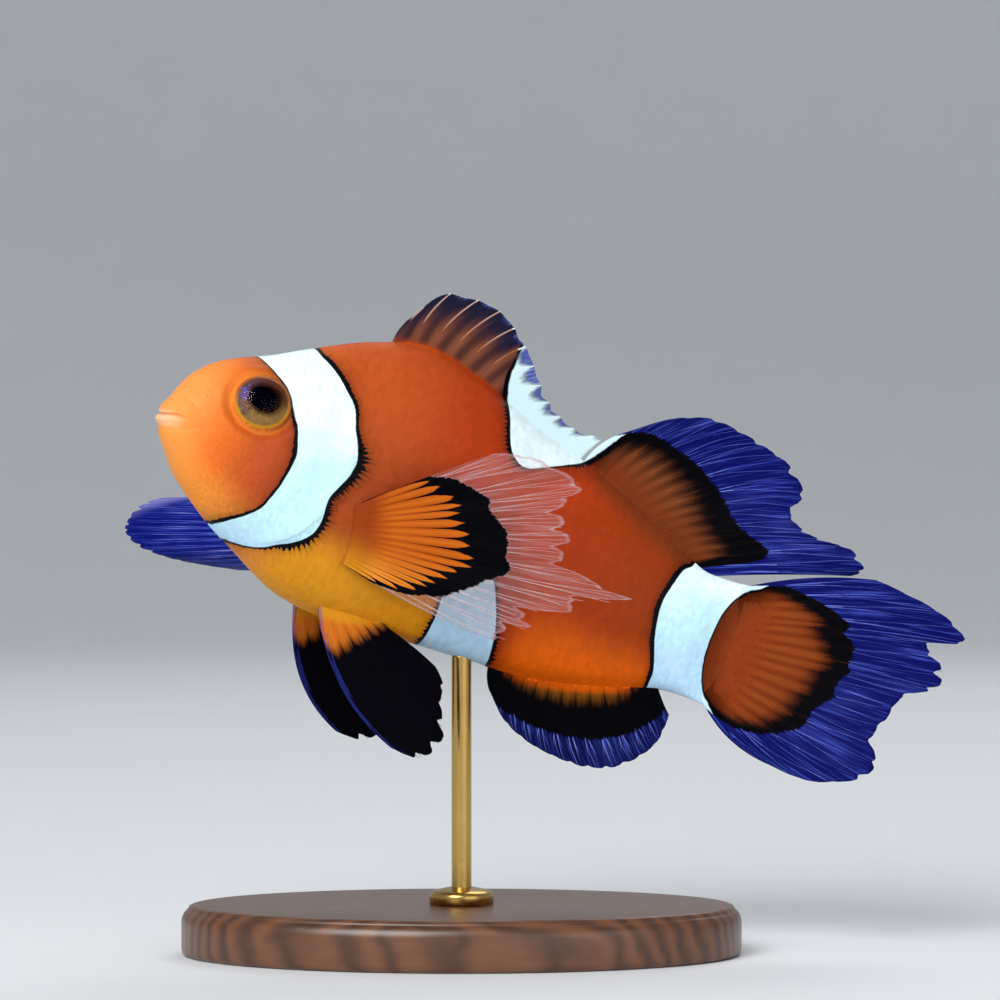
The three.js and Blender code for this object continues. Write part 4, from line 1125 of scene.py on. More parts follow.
class Tree:
    """A geometry node tree with named inputs, and the few ways its nodes are made."""

    def __init__(self, name, inputs):
        self.tree = bpy.data.node_groups.new(name, "GeometryNodeTree")
        self.sockets = {}
        face = self.tree.interface
        for label, kind in [("Geometry", "NodeSocketGeometry"), *inputs]:
            self.sockets[label] = face.new_socket(label, in_out="INPUT", socket_type=kind)
        face.new_socket("Geometry", in_out="OUTPUT", socket_type="NodeSocketGeometry")
        self.given = self.tree.nodes.new("NodeGroupInput").outputs

    def node(self, kind, inputs=None, output=0, **settings):
        made = add_node(self.tree, kind, inputs, settings)
        return made.outputs[output] if made.outputs else None

    def stored(self, name, kind="FLOAT_VECTOR"):
        """What an attribute of the points holds."""
        return self.node("GeometryNodeInputNamedAttribute", {"Name": name}, data_type=kind)

    def result(self, name, mesh, values):
        """Runs the tree on a mesh with its named inputs set, and gives back a plain mesh."""
        piece = shown(name, mesh)
        modifier = piece.modifiers.new(self.tree.name, "NODES")
        modifier.node_group = self.tree
        for label, value in values.items():
            modifier[self.sockets[label].identifier] = value
        ready = piece.evaluated_get(bpy.context.evaluated_depsgraph_get())
        made = bpy.data.meshes.new_from_object(ready)
        made.name = name
        bpy.data.objects.remove(piece)
        return made


def ray_tree():
    tree = Tree("Fin rays", [("Sides", "NodeSocketInt"), ("Thickness", "NodeSocketFloat"),
                             ("Finish", "NodeSocketMaterial")])
    given = tree.given
    line = tree.node("GeometryNodeMeshToCurve", {"Mesh": given["Geometry"]})
    profile = tree.node("GeometryNodeCurvePrimitiveCircle",
                        {"Resolution": given["Sides"], "Radius": given["Thickness"]})
    tube = tree.node("GeometryNodeCurveToMesh", {
        "Curve": line, "Profile Curve": profile, "Scale": tree.stored("share", "FLOAT"),
        "Fill Caps": True})
    tube = tree.node("GeometryNodeRealizeInstances", {"Geometry": tube})
    tube = tree.node("GeometryNodeSetMaterial", {"Geometry": tube, "Material": given["Finish"]})
    tree.node("NodeGroupOutput", {"Geometry": tube})
    return tree


RAYS = ray_tree()


def build_rays(name, fin, finish):
    """The fin's rays and their forks, as thin tapering rods in the membrane."""
    sheet = fin_sheet(fin)
    lines = ray_lines(fin)
    u, v, share = (np.concatenate(part) for part in zip(*lines))
    ends = set(np.cumsum([len(line[0]) for line in lines]))
    edges = [(i, i + 1) for i in range(len(u) - 1) if i + 1 not in ends]
    mesh = bpy.data.meshes.new(name + "_lines")
    mesh.from_pydata(sheet(u, v).tolist(), edges, [])
    add_numbers(mesh, "share", share)
    ray, zone = fin_zones(fin, sheet, u, v)
    add_vectors(mesh, "ray", ray)
    add_vectors(mesh, "zone", zone)
    made = RAYS.result(name + "_rays", mesh, {
        "Sides": RAY_SIDES, "Thickness": fin["thick"], "Finish": finish})
    made.polygons.foreach_set("use_smooth", np.ones(len(made.polygons), bool))
    add_vectors(made, "mark", markings(pose_mesh(made), fin["white"]))
    return shown(name + "_rays", made)


def fin_finish(name, fin, look, rod=False):
    """A fin's finish: the body's colour at its root, then its own, a black band and a clear margin."""
    finish = Finish(name)
    step, mix, noise, shade = finish.step, finish.mix, finish.noise, finish.shade
    flesh, line, ink, clear, glint = (paint(look[key]) for key in ("flesh", "line", "ink", "clear", "glint"))
    rest, mark = finish.attribute("rest"), finish.attribute("mark")
    ray, share, length = finish.split(finish.attribute("ray"))
    into, past, inset = finish.split(finish.attribute("zone"))
    out = share * length

    def strands(across, outward, *settings):
        """Noise drawn out along the rays."""
        return noise(finish.join(ray * across, out * outward, 0.0), *settings)

    wobble = noise(rest, 1.6, 3, 0.6)
    gap = (ray.math("FRACT") - 0.5).math("ABSOLUTE") * 2  # 0 on a ray, 1 halfway to the next
    tooth = noise((ray + 0.5).math("FLOOR") * 3.7, 1.0, 1) * 2.2 + 1.0
    wedge = (gap.math("POWER", 10.0) + gap * 0.32) * fin["spike"] * tooth
    fringe = noise(ray * 2.6, 1.0, 2, 0.7)
    streak = strands(3.0, 0.12, 1.6, 3, 0.6)
    fine = strands(9.0, 0.25, 1.5, 2, 0.6)
    ragged = wobble * 0.5 + fringe * 0.9 + streak * fin["smoke"] * 0.6
    ragged = ragged * step(into, 0.7, -0.3)
    black = step(into + wedge + ragged, -fin["smoke"], 0.12)
    fray = (1 - gap).math("POWER", 3.0) * look.get("fray", 0.0)
    soft = look.get("soft", 0.0)
    over = step(past - fray + fringe * 1.1 + wobble * 0.8, -0.12 - soft, 0.15 + soft)
    body, _ = body_colours(finish, rest, mark)
    out_of_body = out - ROOT_DEPTH
    colour = mix(step(gap + streak * 0.5, 0.15, 0.9), line, flesh)
    if "low" in look:
        lowest = step(ray, fin["rays"] * 0.55, fin["rays"] * 0.95)
        colour = mix(lowest, colour, paint(look["low"]))
    starts, ends = look["blend"]
    colour = mix(step(out_of_body, starts, ends), body, colour)
    # the colour darkens towards the black band; near the root a painted shade darkens the fin where it leaves
    # the body
    dusk_and_root_shade = step(into, -2 * fin["smoke"], 0.0) * 0.35 + step(out_of_body, 2.0, 0.0) * 0.12
    colour = shade(colour, 1.0 - dusk_and_root_shade + streak * 0.4 + fine * 0.3)
    depth, width, _ = finish.split(mark)
    colour = shade(colour, 1 - step(depth, -2.4, -0.2) * 0.4)
    colour = mix(black, colour, ink)
    hair = strands(7.0, 0.1, 1.2, 2, 0.6)
    margin = mix(step(hair + streak * 0.5, 0.0, 0.3) * 0.75, clear, glint)
    # broad pale streaks across the margin: a painted sheen, as of light on the membrane's folds
    fold_sheen = strands(0.4, 0.06, 1.0, 2)
    margin = mix(step(fold_sheen + streak * 0.25, 0.0, 0.3) * look.get("fold_sheen", 0.4), margin, glint)
    pale = step(hair + fine * 0.5, 0.12, 0.4) * (0.0 if rod else look.get("pale", 0.0))
    colour = mix(pale * step(out, 1.5, 4.0), colour, line)
    colour = mix(over, colour, margin)
    if "crest" in look:
        pale_edge, width, slant, amount = look["crest"]
        from_edge = ray + (1 - share) * fin["rays"] * slant + streak * 2
        crest = step(from_edge, fin["rays"] * width, 0.6 * fin["rays"] * width)
        colour = mix(crest * amount, colour, paint(pale_edge))
    edge = depth + wobble * 0.25
    beyond = over * (0.0 if rod else 1.0)
    white = step(edge, -0.08, 0.08) * (1 - beyond)
    colour = mix(step(edge + width, -0.08, 0.1) * (1 - over), colour, INK)
    # the fin's part of a white band, in the darker white of painted shade
    colour = mix(white, colour, SHADED_FIN_WHITE)
    joints = strands(0.5, 2.6, 2.0, 1)
    bump = finish.bump(streak + fine + joints * 0.6, 0.3, 0.04)
    sockets = {"Base_Color": colour, "Roughness": 0.5 + fine * 0.15, "Normal": bump}
    if rod and "alpha" in look:
        sockets["Alpha"] = 1 - over * (1 - look["alpha"])
    if not rod:
        rim = step(inset, 0.7, 0.1) * look.get("rim", 0.0)
        inner = look["skin"] + (1 - look["skin"]) * step(out, 4.0, 2.0)
        outer = look["alpha"] + rim + (hair + fine) * 0.16
        sheer = inner + (outer - inner) * over
        sockets["Alpha"] = finish.node("ShaderNodeMath", {0: sheer, 1: white}, operation="MAXIMUM")
    return finish.surface(**sockets, Specular_IOR_Level=0.03)


# The membrane's colours first, then the rays', then the slot. flesh: between the rays; line: along them;
# ink: the band; clear and glint: the margin and its streaks, partly pale rays and partly painted glints;
# low: the last rays; alpha: how solid the margin is; rim: how much more so at its edge; skin: the same
# inside it; blend: from where to where the body's own colour gives way; pale: streaks inside the band;
# fold_sheen: broad pale streaks of the margin, a painted sheen as of light on its folds; fray and soft: how
# far the margin's start is drawn out between the rays, and blurred; crest: a pale leading edge, as (colour,
# width as a share of the rays, slant, strength), which on the right pectoral fin is a painted highlight
# where its upper edge curls over
BLUE_MARGIN = {"clear": "#050B5A", "glint": "#4658C4", "alpha": 0.95, "skin": 1.0}
PALE_RAY = {"clear": "#6070CC", "glint": "#B0BCF2"}
FIN_LOOKS = {
    "dorsal_fin_spiny": (
        {**BLUE_MARGIN, "flesh": "#56322A", "line": "#8A503A", "ink": "#1C1A32", "clear": "#26409E",
         "glint": "#C8DCFA", "alpha": 0.6, "skin": 0.95, "blend": (-0.5, 0.4), "pale": 0.7, "fray": 1.6,
         "fold_sheen": 0.0, "soft": 0.5},
        {"flesh": "#B07048", "line": "#B07048", "ink": "#B09084", "clear": "#F0F0FA",
         "glint": "#FFFFFF", "blend": (-0.5, 0.6)}, "dark_fin"),
    "dorsal_fin_soft": (
        {**BLUE_MARGIN, "flesh": "#60321A", "line": "#844828", "ink": "#010104", "blend": (0.2, 4.5),
         "pale": 0.6},
        {**PALE_RAY, "flesh": "#A4602E", "line": "#A4602E", "ink": "#06040A", "blend": (0.2, 3.0)},
        "clear_fin"),
    "anal_fin": (
        {**BLUE_MARGIN, "flesh": "#86500F", "line": "#9A5C18", "ink": "#010104", "clear": "#030742",
         "blend": (0.2, 0.9)},
        {**PALE_RAY, "flesh": "#A05A12", "line": "#A05A12", "ink": "#040308", "blend": (0.2, 0.9)},
        "dark_fin"),
    "caudal_fin": (
        {**BLUE_MARGIN, "flesh": "#763010", "line": "#8C4018", "ink": "#010104", "blend": (0.2, 4.0),
         "pale": 0.4},
        {**PALE_RAY, "flesh": "#86401A", "line": "#86401A", "ink": "#06040A", "blend": (0.2, 4.0)},
        "clear_fin"),
    "pectoral_fin_left": (
        {"flesh": "#AA4C10", "line": "#BC5E16", "ink": "#010104", "clear": "#C49090", "glint": "#F4ECF4",
         "alpha": 0.08, "rim": 0.28, "skin": 1.0, "blend": (0.2, 3.0), "low": "#D8842C"},
        {"flesh": "#C2641A", "line": "#C2641A", "ink": "#02020A", "clear": "#DCC4C8",
         "glint": "#FFFFFF", "alpha": 0.3, "blend": (0.2, 3.0)}, "orange_fin"),
    "pectoral_fin_right": (
        {**BLUE_MARGIN, "flesh": "#BE601A", "line": "#CA7022", "ink": "#020106", "clear": "#04106A",
         # the pale crest along the upper edge is a painted highlight where the fin curls over; the broad pale
         # streaks are a painted sheen
         "crest": ("#8C8CD0", 0.48, 1.0, 0.7), "fold_sheen": 0.15, "blend": (0.2, 3.0)},
        {**PALE_RAY, "flesh": "#CC7222", "line": "#CC7222", "ink": "#04030A", "clear": "#3848B0",
         "blend": (0.2, 3.0)}, "orange_fin"),
    "pelvic_fin_left": (
        {**BLUE_MARGIN, "flesh": "#C0641A", "line": "#C86E20", "ink": "#020106", "blend": (0.2, 1.5),
         "crest": ("#2C3690", 0.035, 0.0, 0.4)},
        {**PALE_RAY, "flesh": "#C0641A", "line": "#C86E20", "ink": "#04030A", "blend": (0.2, 1.5)},
        "dark_fin"),
}
FIN_LOOKS["pelvic_fin_right"] = FIN_LOOKS["pelvic_fin_left"]
for name, fin in FINS.items():
    skin_look, rod_look, slot = FIN_LOOKS[name]
    membrane = build_membrane(name, fin)
    membrane.data.materials.append(fin_finish(name + " skin", fin, skin_look))
    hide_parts(name)
    rods = build_rays(name, fin, fin_finish(name + " rays", fin, rod_look, rod=True))
    for piece in (membrane, rods):
        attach(piece, "root")

# ---------------------------------------------------------------- the coat of scales
# Thin rounded scales, set in staggered rows like roof tiles from the nape and cheeks to the tail stem.
# Each is let into the skin in front and stands free behind. They are smallest on the face.

SCALE_PITCH = 0.92  # along a row, on the flank
ROW_PITCH = 0.5  # from one row to the next, which stands half a scale further aft
# distance aft of the snout, size of the scales there as a share of the flank's
SCALE_SIZES = np.array([(0, 0.42), (7, 0.46), (14, 0.7), (22, 1.0), (44, 0.96), (57, 0.72), (65, 0.5)])
SCALE_SIDES = 11
SCALE_FRONT, SCALE_BACK, SCALE_HALF_WIDTH = 0.62, 0.72, 0.64
SCALE_LIFT = 0.026  # how high the free edge stands
SCALE_SUNK = 0.018  # how deep the front edge lies in the skin
SCALE_EDGE = 0.022  # how thick it is
SCALE_DROOP = 0.006  # how far its sides lie under its middle
SCALE_CROWN = [0.04, 0, 0.006]  # the point in its middle
PLATE_SPAN = 1.45  # how much of the plate's length one side of its patch holds
LEAST_SCALE, SCALE_SWAY = 0.94, 0.04  # smallest random size, and random turn to either side in radians
COAT_JOIN = 27.0  # distance aft where the front pieces of the coat give way to the rear ones
PATCH = 0.003  # side of a scale's own patch on the map


def scale_plate():
    """One scale at flank size as a thin closed shield, free edge towards +x, with a place on its patch."""
    turn = np.arange(SCALE_SIDES) / SCALE_SIDES * 2 * math.pi
    x = np.where(np.cos(turn) > 0, SCALE_BACK, SCALE_FRONT) * np.cos(turn)
    y = SCALE_HALF_WIDTH * np.sign(np.sin(turn)) * np.abs(np.sin(turn)) ** 0.9
    rise = (x + SCALE_FRONT) / (SCALE_FRONT + SCALE_BACK)
    top = -SCALE_SUNK * (1 - rise) + SCALE_LIFT * rise - SCALE_DROOP * (np.abs(y) / SCALE_HALF_WIDTH) ** 2
    rim = np.stack([x, y, top], -1)
    foot = rim * [0.97, 0.97, 1] - [0, 0, SCALE_EDGE]
    s = np.arange(SCALE_SIDES)
    after = (s + 1) % SCALE_SIDES
    face_up = np.stack([s, after, np.full(SCALE_SIDES, 2 * SCALE_SIDES)], -1)
    rims = np.vstack([np.stack([s + SCALE_SIDES, after + SCALE_SIDES, after], -1),
                      np.stack([s + SCALE_SIDES, after, s], -1)])
    face_down = np.stack([np.full(SCALE_SIDES - 2, SCALE_SIDES), s[2:] + SCALE_SIDES,
                          s[1:-1] + SCALE_SIDES], -1)
    points = np.vstack([rim, foot, [SCALE_CROWN]])
    mesh = mesh_of("scale_plate", points, np.vstack([face_up, rims, face_down]))
    mesh.polygons.foreach_set("use_smooth", np.zeros(len(mesh.polygons), bool))
    place = np.stack([points[:, 0] / PLATE_SPAN + 0.46, points[:, 1] / PLATE_SPAN + 0.5,
                      np.zeros(len(points))], -1)
    add_vectors(mesh, "on_plate", (place - 0.5) * PATCH)
    return bpy.data.objects.new("scale_plate", mesh)


BARE_SNOUT = 5.6  # distance aft of the snout that bears no scales at the mouth's height, more above it
BARE_LID = 1.34  # the same round the eye, in eye radii
BARE_FIN_ROOT = (21.3, -4.0, 1.0, 3.0)  # middle and half sizes of the pectoral fin's bare root
COAT_START, COAT_STOP = 5.0, 0.4  # where the first ring of scales is tried, and how far from the end the last
MOST_ROWS = 90  # more rows than a flank has room for
ROW_MARGIN = 0.1  # least distance of a row from the middle of the back or belly


def naked(p):
    """True on the lips, snout, eye sockets and roots of the pectoral fins, which bear no scales."""
    x, z = p[:, 0], p[:, 2]
    bare = x < BARE_SNOUT + 0.5 * np.clip(z - 0.5, 0, None)
    for side in (1, -1):
        bare |= (p[:, 1] * side > 0) & (eye_frame(p, side)[1] < BARE_LID)
    middle_x, middle_z, half_x, half_z = BARE_FIN_ROOT
    return bare | (((x - middle_x) / half_x) ** 2 + ((z - middle_z) / half_z) ** 2 < 1)


def scale_places():
    """Every scale's place on the skin, as (distance aft, angle, size), in staggered rows."""
    found = []
    angle = np.radians(np.linspace(-90, 90, 181))
    x, ring = COAT_START, 0
    while x < BODY_END - COAT_STOP:
        size = float(along(SCALE_SIZES, 1, x))
        line = body_point(np.full(angle.shape, x), angle)
        arc = np.r_[0, np.cumsum(np.linalg.norm(np.diff(line, axis=0), axis=1))]
        arc -= np.interp(0, angle, arc)
        rows = np.arange(-MOST_ROWS, MOST_ROWS + 1)
        rows = rows[(rows + ring) % 2 == 0]
        reach = rows * ROW_PITCH * size
        rows = reach[(reach > arc[0] + ROW_MARGIN) & (reach < arc[-1] - ROW_MARGIN)]
        here = np.interp(rows, arc, angle)
        for flank in (here, math.pi - here):
            found.append(np.stack([np.full(len(here), x), flank, np.full(len(here), size)], -1))
        x += SCALE_PITCH * size / 2
        ring += 1
    return np.vstack(found)


SHEATHS = {  # fins whose bases are scaled: how far out, and from where to where along the base
    "dorsal_fin_soft": (1.4, 0.0, 0.86),
    "anal_fin": (1.2, 0.06, 0.84),
    "caudal_fin": (4.4, 0.14, 0.86),
}
SHEATH_START = 0.7  # how far out the first scales on a fin are rooted
SHEATH_SIZE, SHEATH_TAPER = 0.6, 0.3  # their size as a share of the flank's, and how much of it goes outwards


def sheath_places():
    """Roots of the small scales on the fins' bases, as (place along, share of the way out, bed), with
    their sizes and where they stand. A bed is a fin's number, minus on its right face; the skin's is 0."""
    roots, sizes, stands = [], [], []
    thinned = np.random.default_rng(5)
    for number, (name, (reach, start, end)) in enumerate(SHEATHS.items(), 1):
        sheet = fin_sheet(FINS[name])
        out_from, ring = SHEATH_START, 0
        while out_from < reach:
            size = SHEATH_SIZE - SHEATH_TAPER * out_from / reach
            middle = np.linspace(start, end, 40)
            length = np.linalg.norm(sheet(middle, 1.0) - sheet(middle, 0.0), axis=-1)
            across = np.linalg.norm(np.diff(sheet(middle, out_from / length), axis=0), axis=1).sum()
            count = max(int(across / (2 * ROW_PITCH * size)), 3)
            u = start + (end - start) * (np.arange(count) + 0.5 * (ring % 2) + 0.25) / count
            u = u[thinned.uniform(0.35, 1.0, count) > out_from / reach]
            v = out_from / np.interp(u, middle, length)
            for side in (1, -1):
                roots.append(np.stack([u, v, np.full(len(u), number * side)], -1))
                sizes.append(np.full(len(u), size))
                stands.append(sheet(u, v))
            out_from += SCALE_PITCH * size / 2
            ring += 1
    return np.vstack(roots), np.concatenate(sizes), np.vstack(stands)


def run_lengths(surface, a, b, step=0.01):
    """How far a point of surface(a, b) moves for each unit of a and of b."""
    along_a = np.linalg.norm(surface(a + step, b) - surface(a - step, b), axis=-1) / (2 * step)
    along_b = np.linalg.norm(surface(a, b + step) - surface(a, b - step), axis=-1) / (2 * step)
    return np.maximum(along_a, 0.3), np.maximum(along_b, 0.3)


def laid(root, own):
    """Points of the scales, given from their roots as (aft, across, up), laid along the skin or fin there."""
    place = np.empty_like(own)
    here = root[:, 2] == 0
    (x, angle), (aft, across, up) = root[here, :2].T, own[here].T
    long, wide = run_lengths(body_point, x, angle)
    x, angle = np.clip(x + aft / long, 0.1, BODY_END + 0.2), angle - across / wide
    place[here] = skin_point(x, angle) + surface_normals(body_point, x, angle) * up[:, None]
    for number, name in enumerate(SHEATHS, 1):
        sheet = fin_sheet(FINS[name])
        for side in (1, -1):
            here = root[:, 2] == number * side
            (u, v), (aft, across, up) = root[here, :2].T, own[here].T
            wide, long = run_lengths(sheet, u, v)
            out, aside = sheet(0.5, 0.02) - sheet(0.5, 0.0), sheet(0.52, 0.0) - sheet(0.48, 0.0)
            across = across * side * np.sign(np.cross(out, aside)[1])
            middle, normal, half = fin_surface(FINS[name], sheet, u + across / wide, v + aft / long)
            normal = normal * np.sign(normal[:, 1:2]) * side
            place[here] = middle + normal * (half + up)[:, None]
    return place


def scale_tree():
    """Copies the plate once for each root, all at one spot, with its own size, turn, tint and map patch."""
    tree = Tree("Coat of scales", [
        ("Plate", "NodeSocketObject"), ("Least size", "NodeSocketFloat"), ("Sway", "NodeSocketFloat"),
        ("Seed", "NodeSocketInt"), ("Finish", "NodeSocketMaterial")])
    given = tree.given
    plate = tree.node("GeometryNodeObjectInfo", {"Object": given["Plate"]}, output="Geometry")
    size = tree.node("FunctionNodeRandomValue", {2: given["Least size"], 3: 1.0, "Seed": given["Seed"]},
                     output=1)
    size = tree.node("ShaderNodeMath", {0: size, 1: tree.stored("size", "FLOAT")}, operation="MULTIPLY")
    back = tree.node("ShaderNodeMath", {0: given["Sway"], 1: -1.0}, operation="MULTIPLY")
    sway = tree.node("FunctionNodeRandomValue", {2: back, 3: given["Sway"], "Seed": given["Seed"]}, output=1)
    sway = tree.node("FunctionNodeEulerToRotation", {0: tree.node("ShaderNodeCombineXYZ", {2: sway})})
    coat = tree.node("GeometryNodeInstanceOnPoints", {
        "Points": given["Geometry"], "Instance": plate, "Rotation": sway, "Scale": size})
    tint = tree.node("FunctionNodeRandomValue", {"Seed": given["Seed"]}, output=1)
    coat = tree.node("GeometryNodeStoreNamedAttribute", {"Geometry": coat, "Name": "tint", "Value": tint},
                     data_type="FLOAT", domain="INSTANCE")
    coat = tree.node("GeometryNodeRealizeInstances", {"Geometry": coat})
    place = tree.node("ShaderNodeVectorMath", {0: tree.stored("patch"), 1: tree.stored("on_plate")},
                      operation="ADD")
    coat = tree.node("GeometryNodeStoreNamedAttribute", {"Geometry": coat, "Name": "OFBake", "Value": place},
                     data_type="FLOAT2", domain="CORNER")
    coat = tree.node("GeometryNodeSetMaterial", {"Geometry": coat, "Material": given["Finish"]})
    tree.node("NodeGroupOutput", {"Geometry": coat})
    return tree


def scale_finish():
    finish = Finish("Clownfish scales")
    rest = finish.attribute("rest")
    colour, _ = body_colours(finish, rest, finish.attribute("mark"))
    grain = finish.noise(rest, 7.0, 3, 0.6)
    tint = finish.amount("tint")
    colour = finish.shade(colour, 0.92 + tint * 0.14 + grain * 0.2)
    bump = finish.bump(grain, 0.3, 0.04)
    roughness = 0.46 + grain * 0.12 + tint * 0.06
    return finish.surface(Base_Color=colour, Roughness=roughness, Normal=bump, Coat_Weight=0.02,
                          Coat_Roughness=0.25, Specular_IOR_Level=0.08)


def build_scales():
    x, angle, size = scale_places().T
    stand = skin_point(x, angle)
    keep = ~naked(stand)
    more_root, more_size, more_stand = sheath_places()
    root = np.vstack([np.stack([x, angle, 0 * x], -1)[keep], more_root])
    stand, size = np.vstack([stand[keep], more_stand]), np.r_[size[keep], more_size]
    left = np.where(root[:, 2] == 0, np.cos(root[:, 1]) > 0, root[:, 2] > 0)
    level = np.arctan2(stand[:, 2], np.where(left, 1, -1) * np.maximum(np.abs(stand[:, 1]), 0.1))
    around = np.mod(np.where(root[:, 2] == 0, root[:, 1], level), 2 * math.pi) / (2 * math.pi)
    patch = MAP_MARGIN + (1 - 2 * MAP_MARGIN) * np.stack([stand[:, 0] / MAP_LENGTH, around, 0 * around], -1)
    plate, tree, finish = scale_plate(), scale_tree(), scale_finish()
    front = stand[:, 0] < COAT_JOIN
    for name, chosen in (("scales_front_left", front & left), ("scales_front_right", front & ~left),
                         ("scales_rear_left", ~front & left), ("scales_rear_right", ~front & ~left)):
        mesh = bpy.data.meshes.new(name + "_roots")
        mesh.from_pydata(np.zeros((chosen.sum(), 3)).tolist(), [], [])
        add_vectors(mesh, "root", root[chosen])
        add_vectors(mesh, "patch", patch[chosen])
        add_numbers(mesh, "size", size[chosen])
        made = tree.result(name, mesh, {
            "Plate": plate, "Least size": LEAST_SCALE, "Sway": SCALE_SWAY, "Seed": 7, "Finish": finish})
        own = values_of(made, "position")
        made.vertices.foreach_set("co", laid(values_of(made, "root"), own).astype(np.float32).ravel())
        add_vectors(made, "mark", markings(pose_mesh(made)))
        coat = shown(name, made)
        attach(coat, "root")
    bpy.data.objects.remove(plate)


build_scales()

# ---------------------------------------------------------------- the stand
# An oval walnut base with a softened edge, a brass collar let in over the hole, and one brass rod that
# runs up into the belly.

BASE_SIDES = 160
# how far in from the base's edge, and height, from the underside up
BASE_PROFILE = [(0.9, 0.0), (0.35, 0.06), (0.08, 0.3), (0.0, 0.75), (0.0, 3.3), (0.06, 3.75), (0.24, 4.15),
                (0.5, 4.45), (0.62, 4.5), (0.66, 4.62), (0.8, 4.86), (1.1, 4.97), (1.6, 5.0), (6.0, 5.0),
                (14.0, 5.0)]


def turned(name, rings, sides):
    """A closed smooth piece round the rod's axis, from rings given in millimetres as (half length, half
    width, height)."""
    turn = np.arange(sides) / sides * 2 * math.pi
    points = [np.stack([a * np.cos(turn), b * np.sin(turn), np.full(sides, z)], -1) for a, b, z in rings]
    points = np.vstack([*points, [[0, 0, rings[0][2]], [0, 0, rings[-1][2]]]]) * METRES
    return shown(name, mesh_of(name, points, capped_faces(len(rings), sides)))


def walnut():
    """Wood whose grain runs along x, with cycles for each metre along and across it."""
    finish = Finish("Oiled walnut")
    place = finish.place()
    drift = finish.noise(place, 60.0, 3)
    x, y, z = finish.split(place)
    rings = finish.node("ShaderNodeTexWave", {
        "Vector": finish.join(x * 26, y * 190 + drift * 1.6, z * 190), "Scale": 1.0, "Distortion": 3.0,
        "Detail": 3.0, "Detail Scale": 1.2}, output=1, bands_direction="Y")
    fibre = finish.noise(finish.stretch(place, 90, 1500, 1500), 1.0, 3, 0.6)
    colour = finish.mix(rings, paint("#4A2C1A"), paint("#6E452A"))
    colour = finish.shade(colour, 1.0 + fibre * 0.5)
    bump = finish.bump(fibre, 0.25, 0.05)
    return finish.surface(Base_Color=colour, Roughness=0.36 + fibre * 0.1, Normal=bump, Coat_Weight=0.25,
                          Coat_Roughness=0.25)


def brass():
    """Metal brushed round the rod, with cycles for each metre."""
    finish = Finish("Brushed brass")
    place = finish.place()
    brushed = finish.noise(finish.stretch(place, 600, 600, 9000), 1.0, 2)
    cloud = finish.noise(place, 260.0, 3)
    colour = finish.shade(finish.mix(cloud + 0.5, paint("#B08A45"), paint("#D2B06A")), 1.0 + brushed * 0.1)
    bump = finish.bump(brushed, 0.15, 0.01)
    return finish.surface(Base_Color=colour, Roughness=0.26 + cloud * 0.15, Normal=bump, Metallic=1.0)


ROD_RADIUS, ROD_SIDES, COLLAR_SIDES = 1.0, 48, 64
ROD_TIP = 0.8  # how far the drawn rod reaches into the fish past the planned one
half_length, half_width, base_top = (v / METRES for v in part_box("stand_base")[1])
rod_low, rod_high = (v.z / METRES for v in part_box("stand_rod"))
collar_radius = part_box("stand_collar")[1].x / METRES
collar_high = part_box("stand_collar")[1].z / METRES
collar_profile = [(1.02, base_top), (collar_radius, base_top), (collar_radius, collar_high - 0.75),
                  (collar_radius - 0.1, collar_high - 0.5), (collar_radius - 0.5, collar_high - 0.28),
                  (collar_radius - 0.9, collar_high - 0.22), (collar_radius - 1.25, collar_high - 0.14),
                  (1.35, collar_high - 0.02), (1.15, collar_high), (1.02, collar_high - 0.06)]
rod_profile = [(0.9, rod_low), (ROD_RADIUS, rod_low + 0.1), (ROD_RADIUS, base_top), (ROD_RADIUS, 12.0),
               (ROD_RADIUS, 20.0), (ROD_RADIUS, rod_high), (ROD_RADIUS, rod_high + ROD_TIP)]
base_rings = [(half_length - d, half_width - d, z) for d, z in BASE_PROFILE]
collar_rings, rod_rings = ([(r, r, z) for r, z in profile] for profile in (collar_profile, rod_profile))
wood, metal = walnut(), brass()
for piece, node, material, slot in (
    (turned("stand_base_oval", base_rings, BASE_SIDES), "stand_base", wood, "base_wood"),
    (turned("stand_collar_turned", collar_rings, COLLAR_SIDES), "stand_collar", metal, "rod_brass"),
    (turned("stand_rod_drawn", rod_rings, ROD_SIDES), "stand_rod", metal, "rod_brass"),
):
    piece.data.materials.append(material)
    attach(piece, "root")
    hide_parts(node)

# ---------------------------------------------------------------- the studio
# A pale seamless bowl under the model, with a large soft light above in front and weak ones round it.

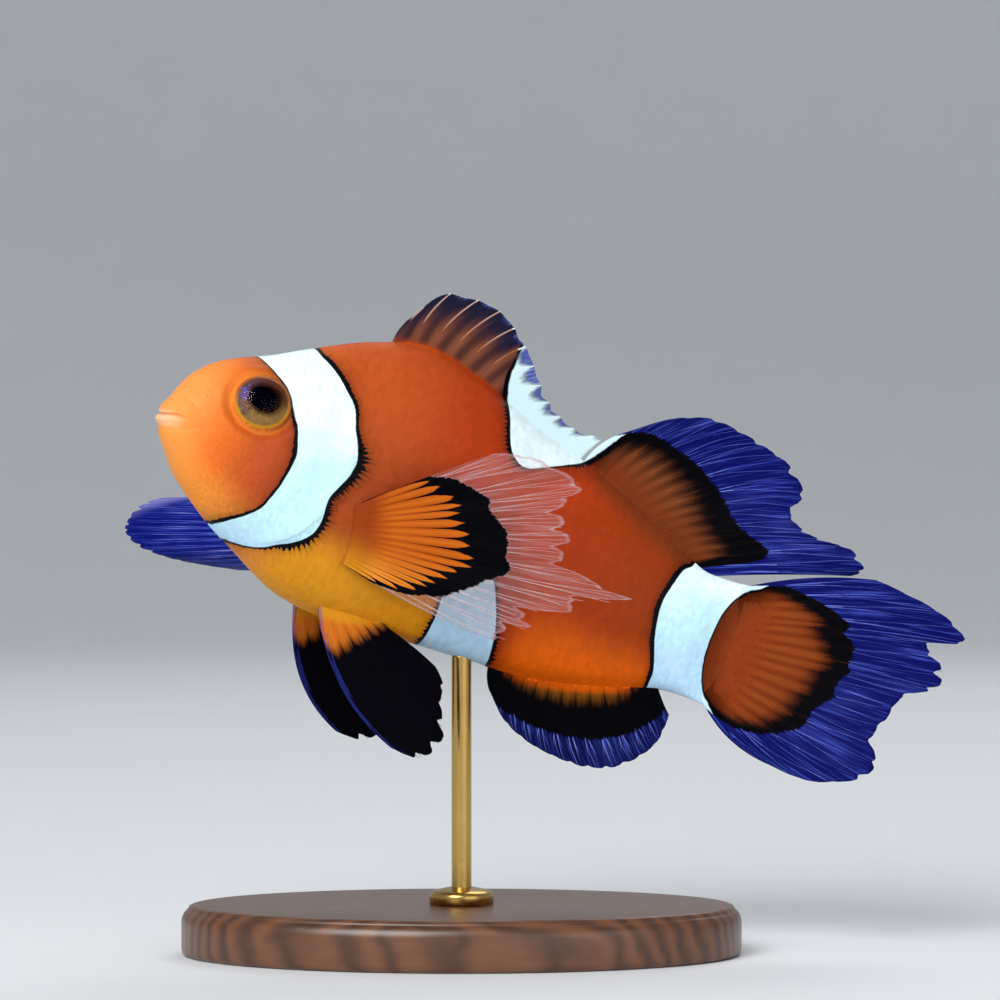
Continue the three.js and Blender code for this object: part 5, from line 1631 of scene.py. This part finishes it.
BOWL_RADIUS, BOWL_TURN, BOWL_HEIGHT = 1.6, 0.7, 1.6
BOWL_SIDES, BOWL_STEPS = 96, 12
bowl_profile = [(0.02, 0.0), (0.3, 0.0), (0.7, 0.0), (BOWL_RADIUS - BOWL_TURN, 0.0)]
for step in range(1, BOWL_STEPS + 1):
    a = math.pi / 2 * step / BOWL_STEPS
    bowl_profile.append((BOWL_RADIUS - BOWL_TURN + BOWL_TURN * math.sin(a), BOWL_TURN * (1 - math.cos(a))))
bowl_profile.append((BOWL_RADIUS, BOWL_HEIGHT))
turn = np.linspace(0, 2 * math.pi, BOWL_SIDES, endpoint=False)
bowl_points = np.array([(r * math.cos(t), r * math.sin(t), h) for r, h in bowl_profile for t in turn])
bowl_faces = ring_quads(len(bowl_profile), BOWL_SIDES)
centre = len(bowl_points)
bowl_middle = [(centre, s, (s + 1) % BOWL_SIDES) for s in range(BOWL_SIDES)]
bowl_mesh = bpy.data.meshes.new("studio_floor")
bowl_mesh.from_pydata([*map(tuple, bowl_points), (0, 0, 0)], [],
                      [*map(tuple, bowl_faces[:, ::-1]), *bowl_middle])
bowl_mesh.polygons.foreach_set("use_smooth", np.ones(len(bowl_mesh.polygons), bool))
bowl = shown("studio_floor", bowl_mesh)
card = Finish("Pale card")
speckle = card.noise(card.place(), 40.0, 3)
bowl.data.materials.append(card.surface(Base_Color=card.shade((0.8, 0.82, 0.84, 1), 1 + speckle * 0.02),
                                        Roughness=0.9))


LIGHT_AIM = np.array([0.005, 0.0, 0.045])  # the middle of the fish, in metres


def soft_light(name, power, size, place):
    """A square lamp that faces the fish."""
    lamp = bpy.data.lights.new(name, "AREA")
    lamp.energy, lamp.size = power, size
    stand = bpy.data.objects.new(name, lamp)
    stand.location = place
    stand.rotation_mode = "QUATERNION"
    stand.rotation_quaternion = mathutils.Vector(LIGHT_AIM - np.array(place)).to_track_quat("-Z", "Y")
    bpy.context.scene.collection.objects.link(stand)


soft_light("key", 6.0, 0.45, (-0.3, -0.62, 0.5))
soft_light("fill", 1.8, 0.7, (0.5, -0.7, 0.15))
soft_light("back", 2.0, 0.5, (0.2, 0.5, 0.7))

world = bpy.data.worlds.new("Soft daylight")
world.use_nodes = True
world.node_tree.nodes["Background"].inputs["Color"].default_value = (0.93, 0.96, 1.0, 1)
world.node_tree.nodes["Background"].inputs["Strength"].default_value = 0.3
bpy.context.scene.world = world
bpy.context.scene.view_settings.view_transform = "Standard"

lens = bpy.data.cameras.new("camera")
lens.lens, lens.sensor_width = 150, 36
lens.clip_start, lens.clip_end = 0.01, 20
camera = bpy.data.objects.new("camera", lens)
camera.location = (0.00385, -0.4167, 0.0454)
camera.rotation_euler = (math.pi / 2, 0, 0)
bpy.context.scene.collection.objects.link(camera)
bpy.context.scene.camera = camera
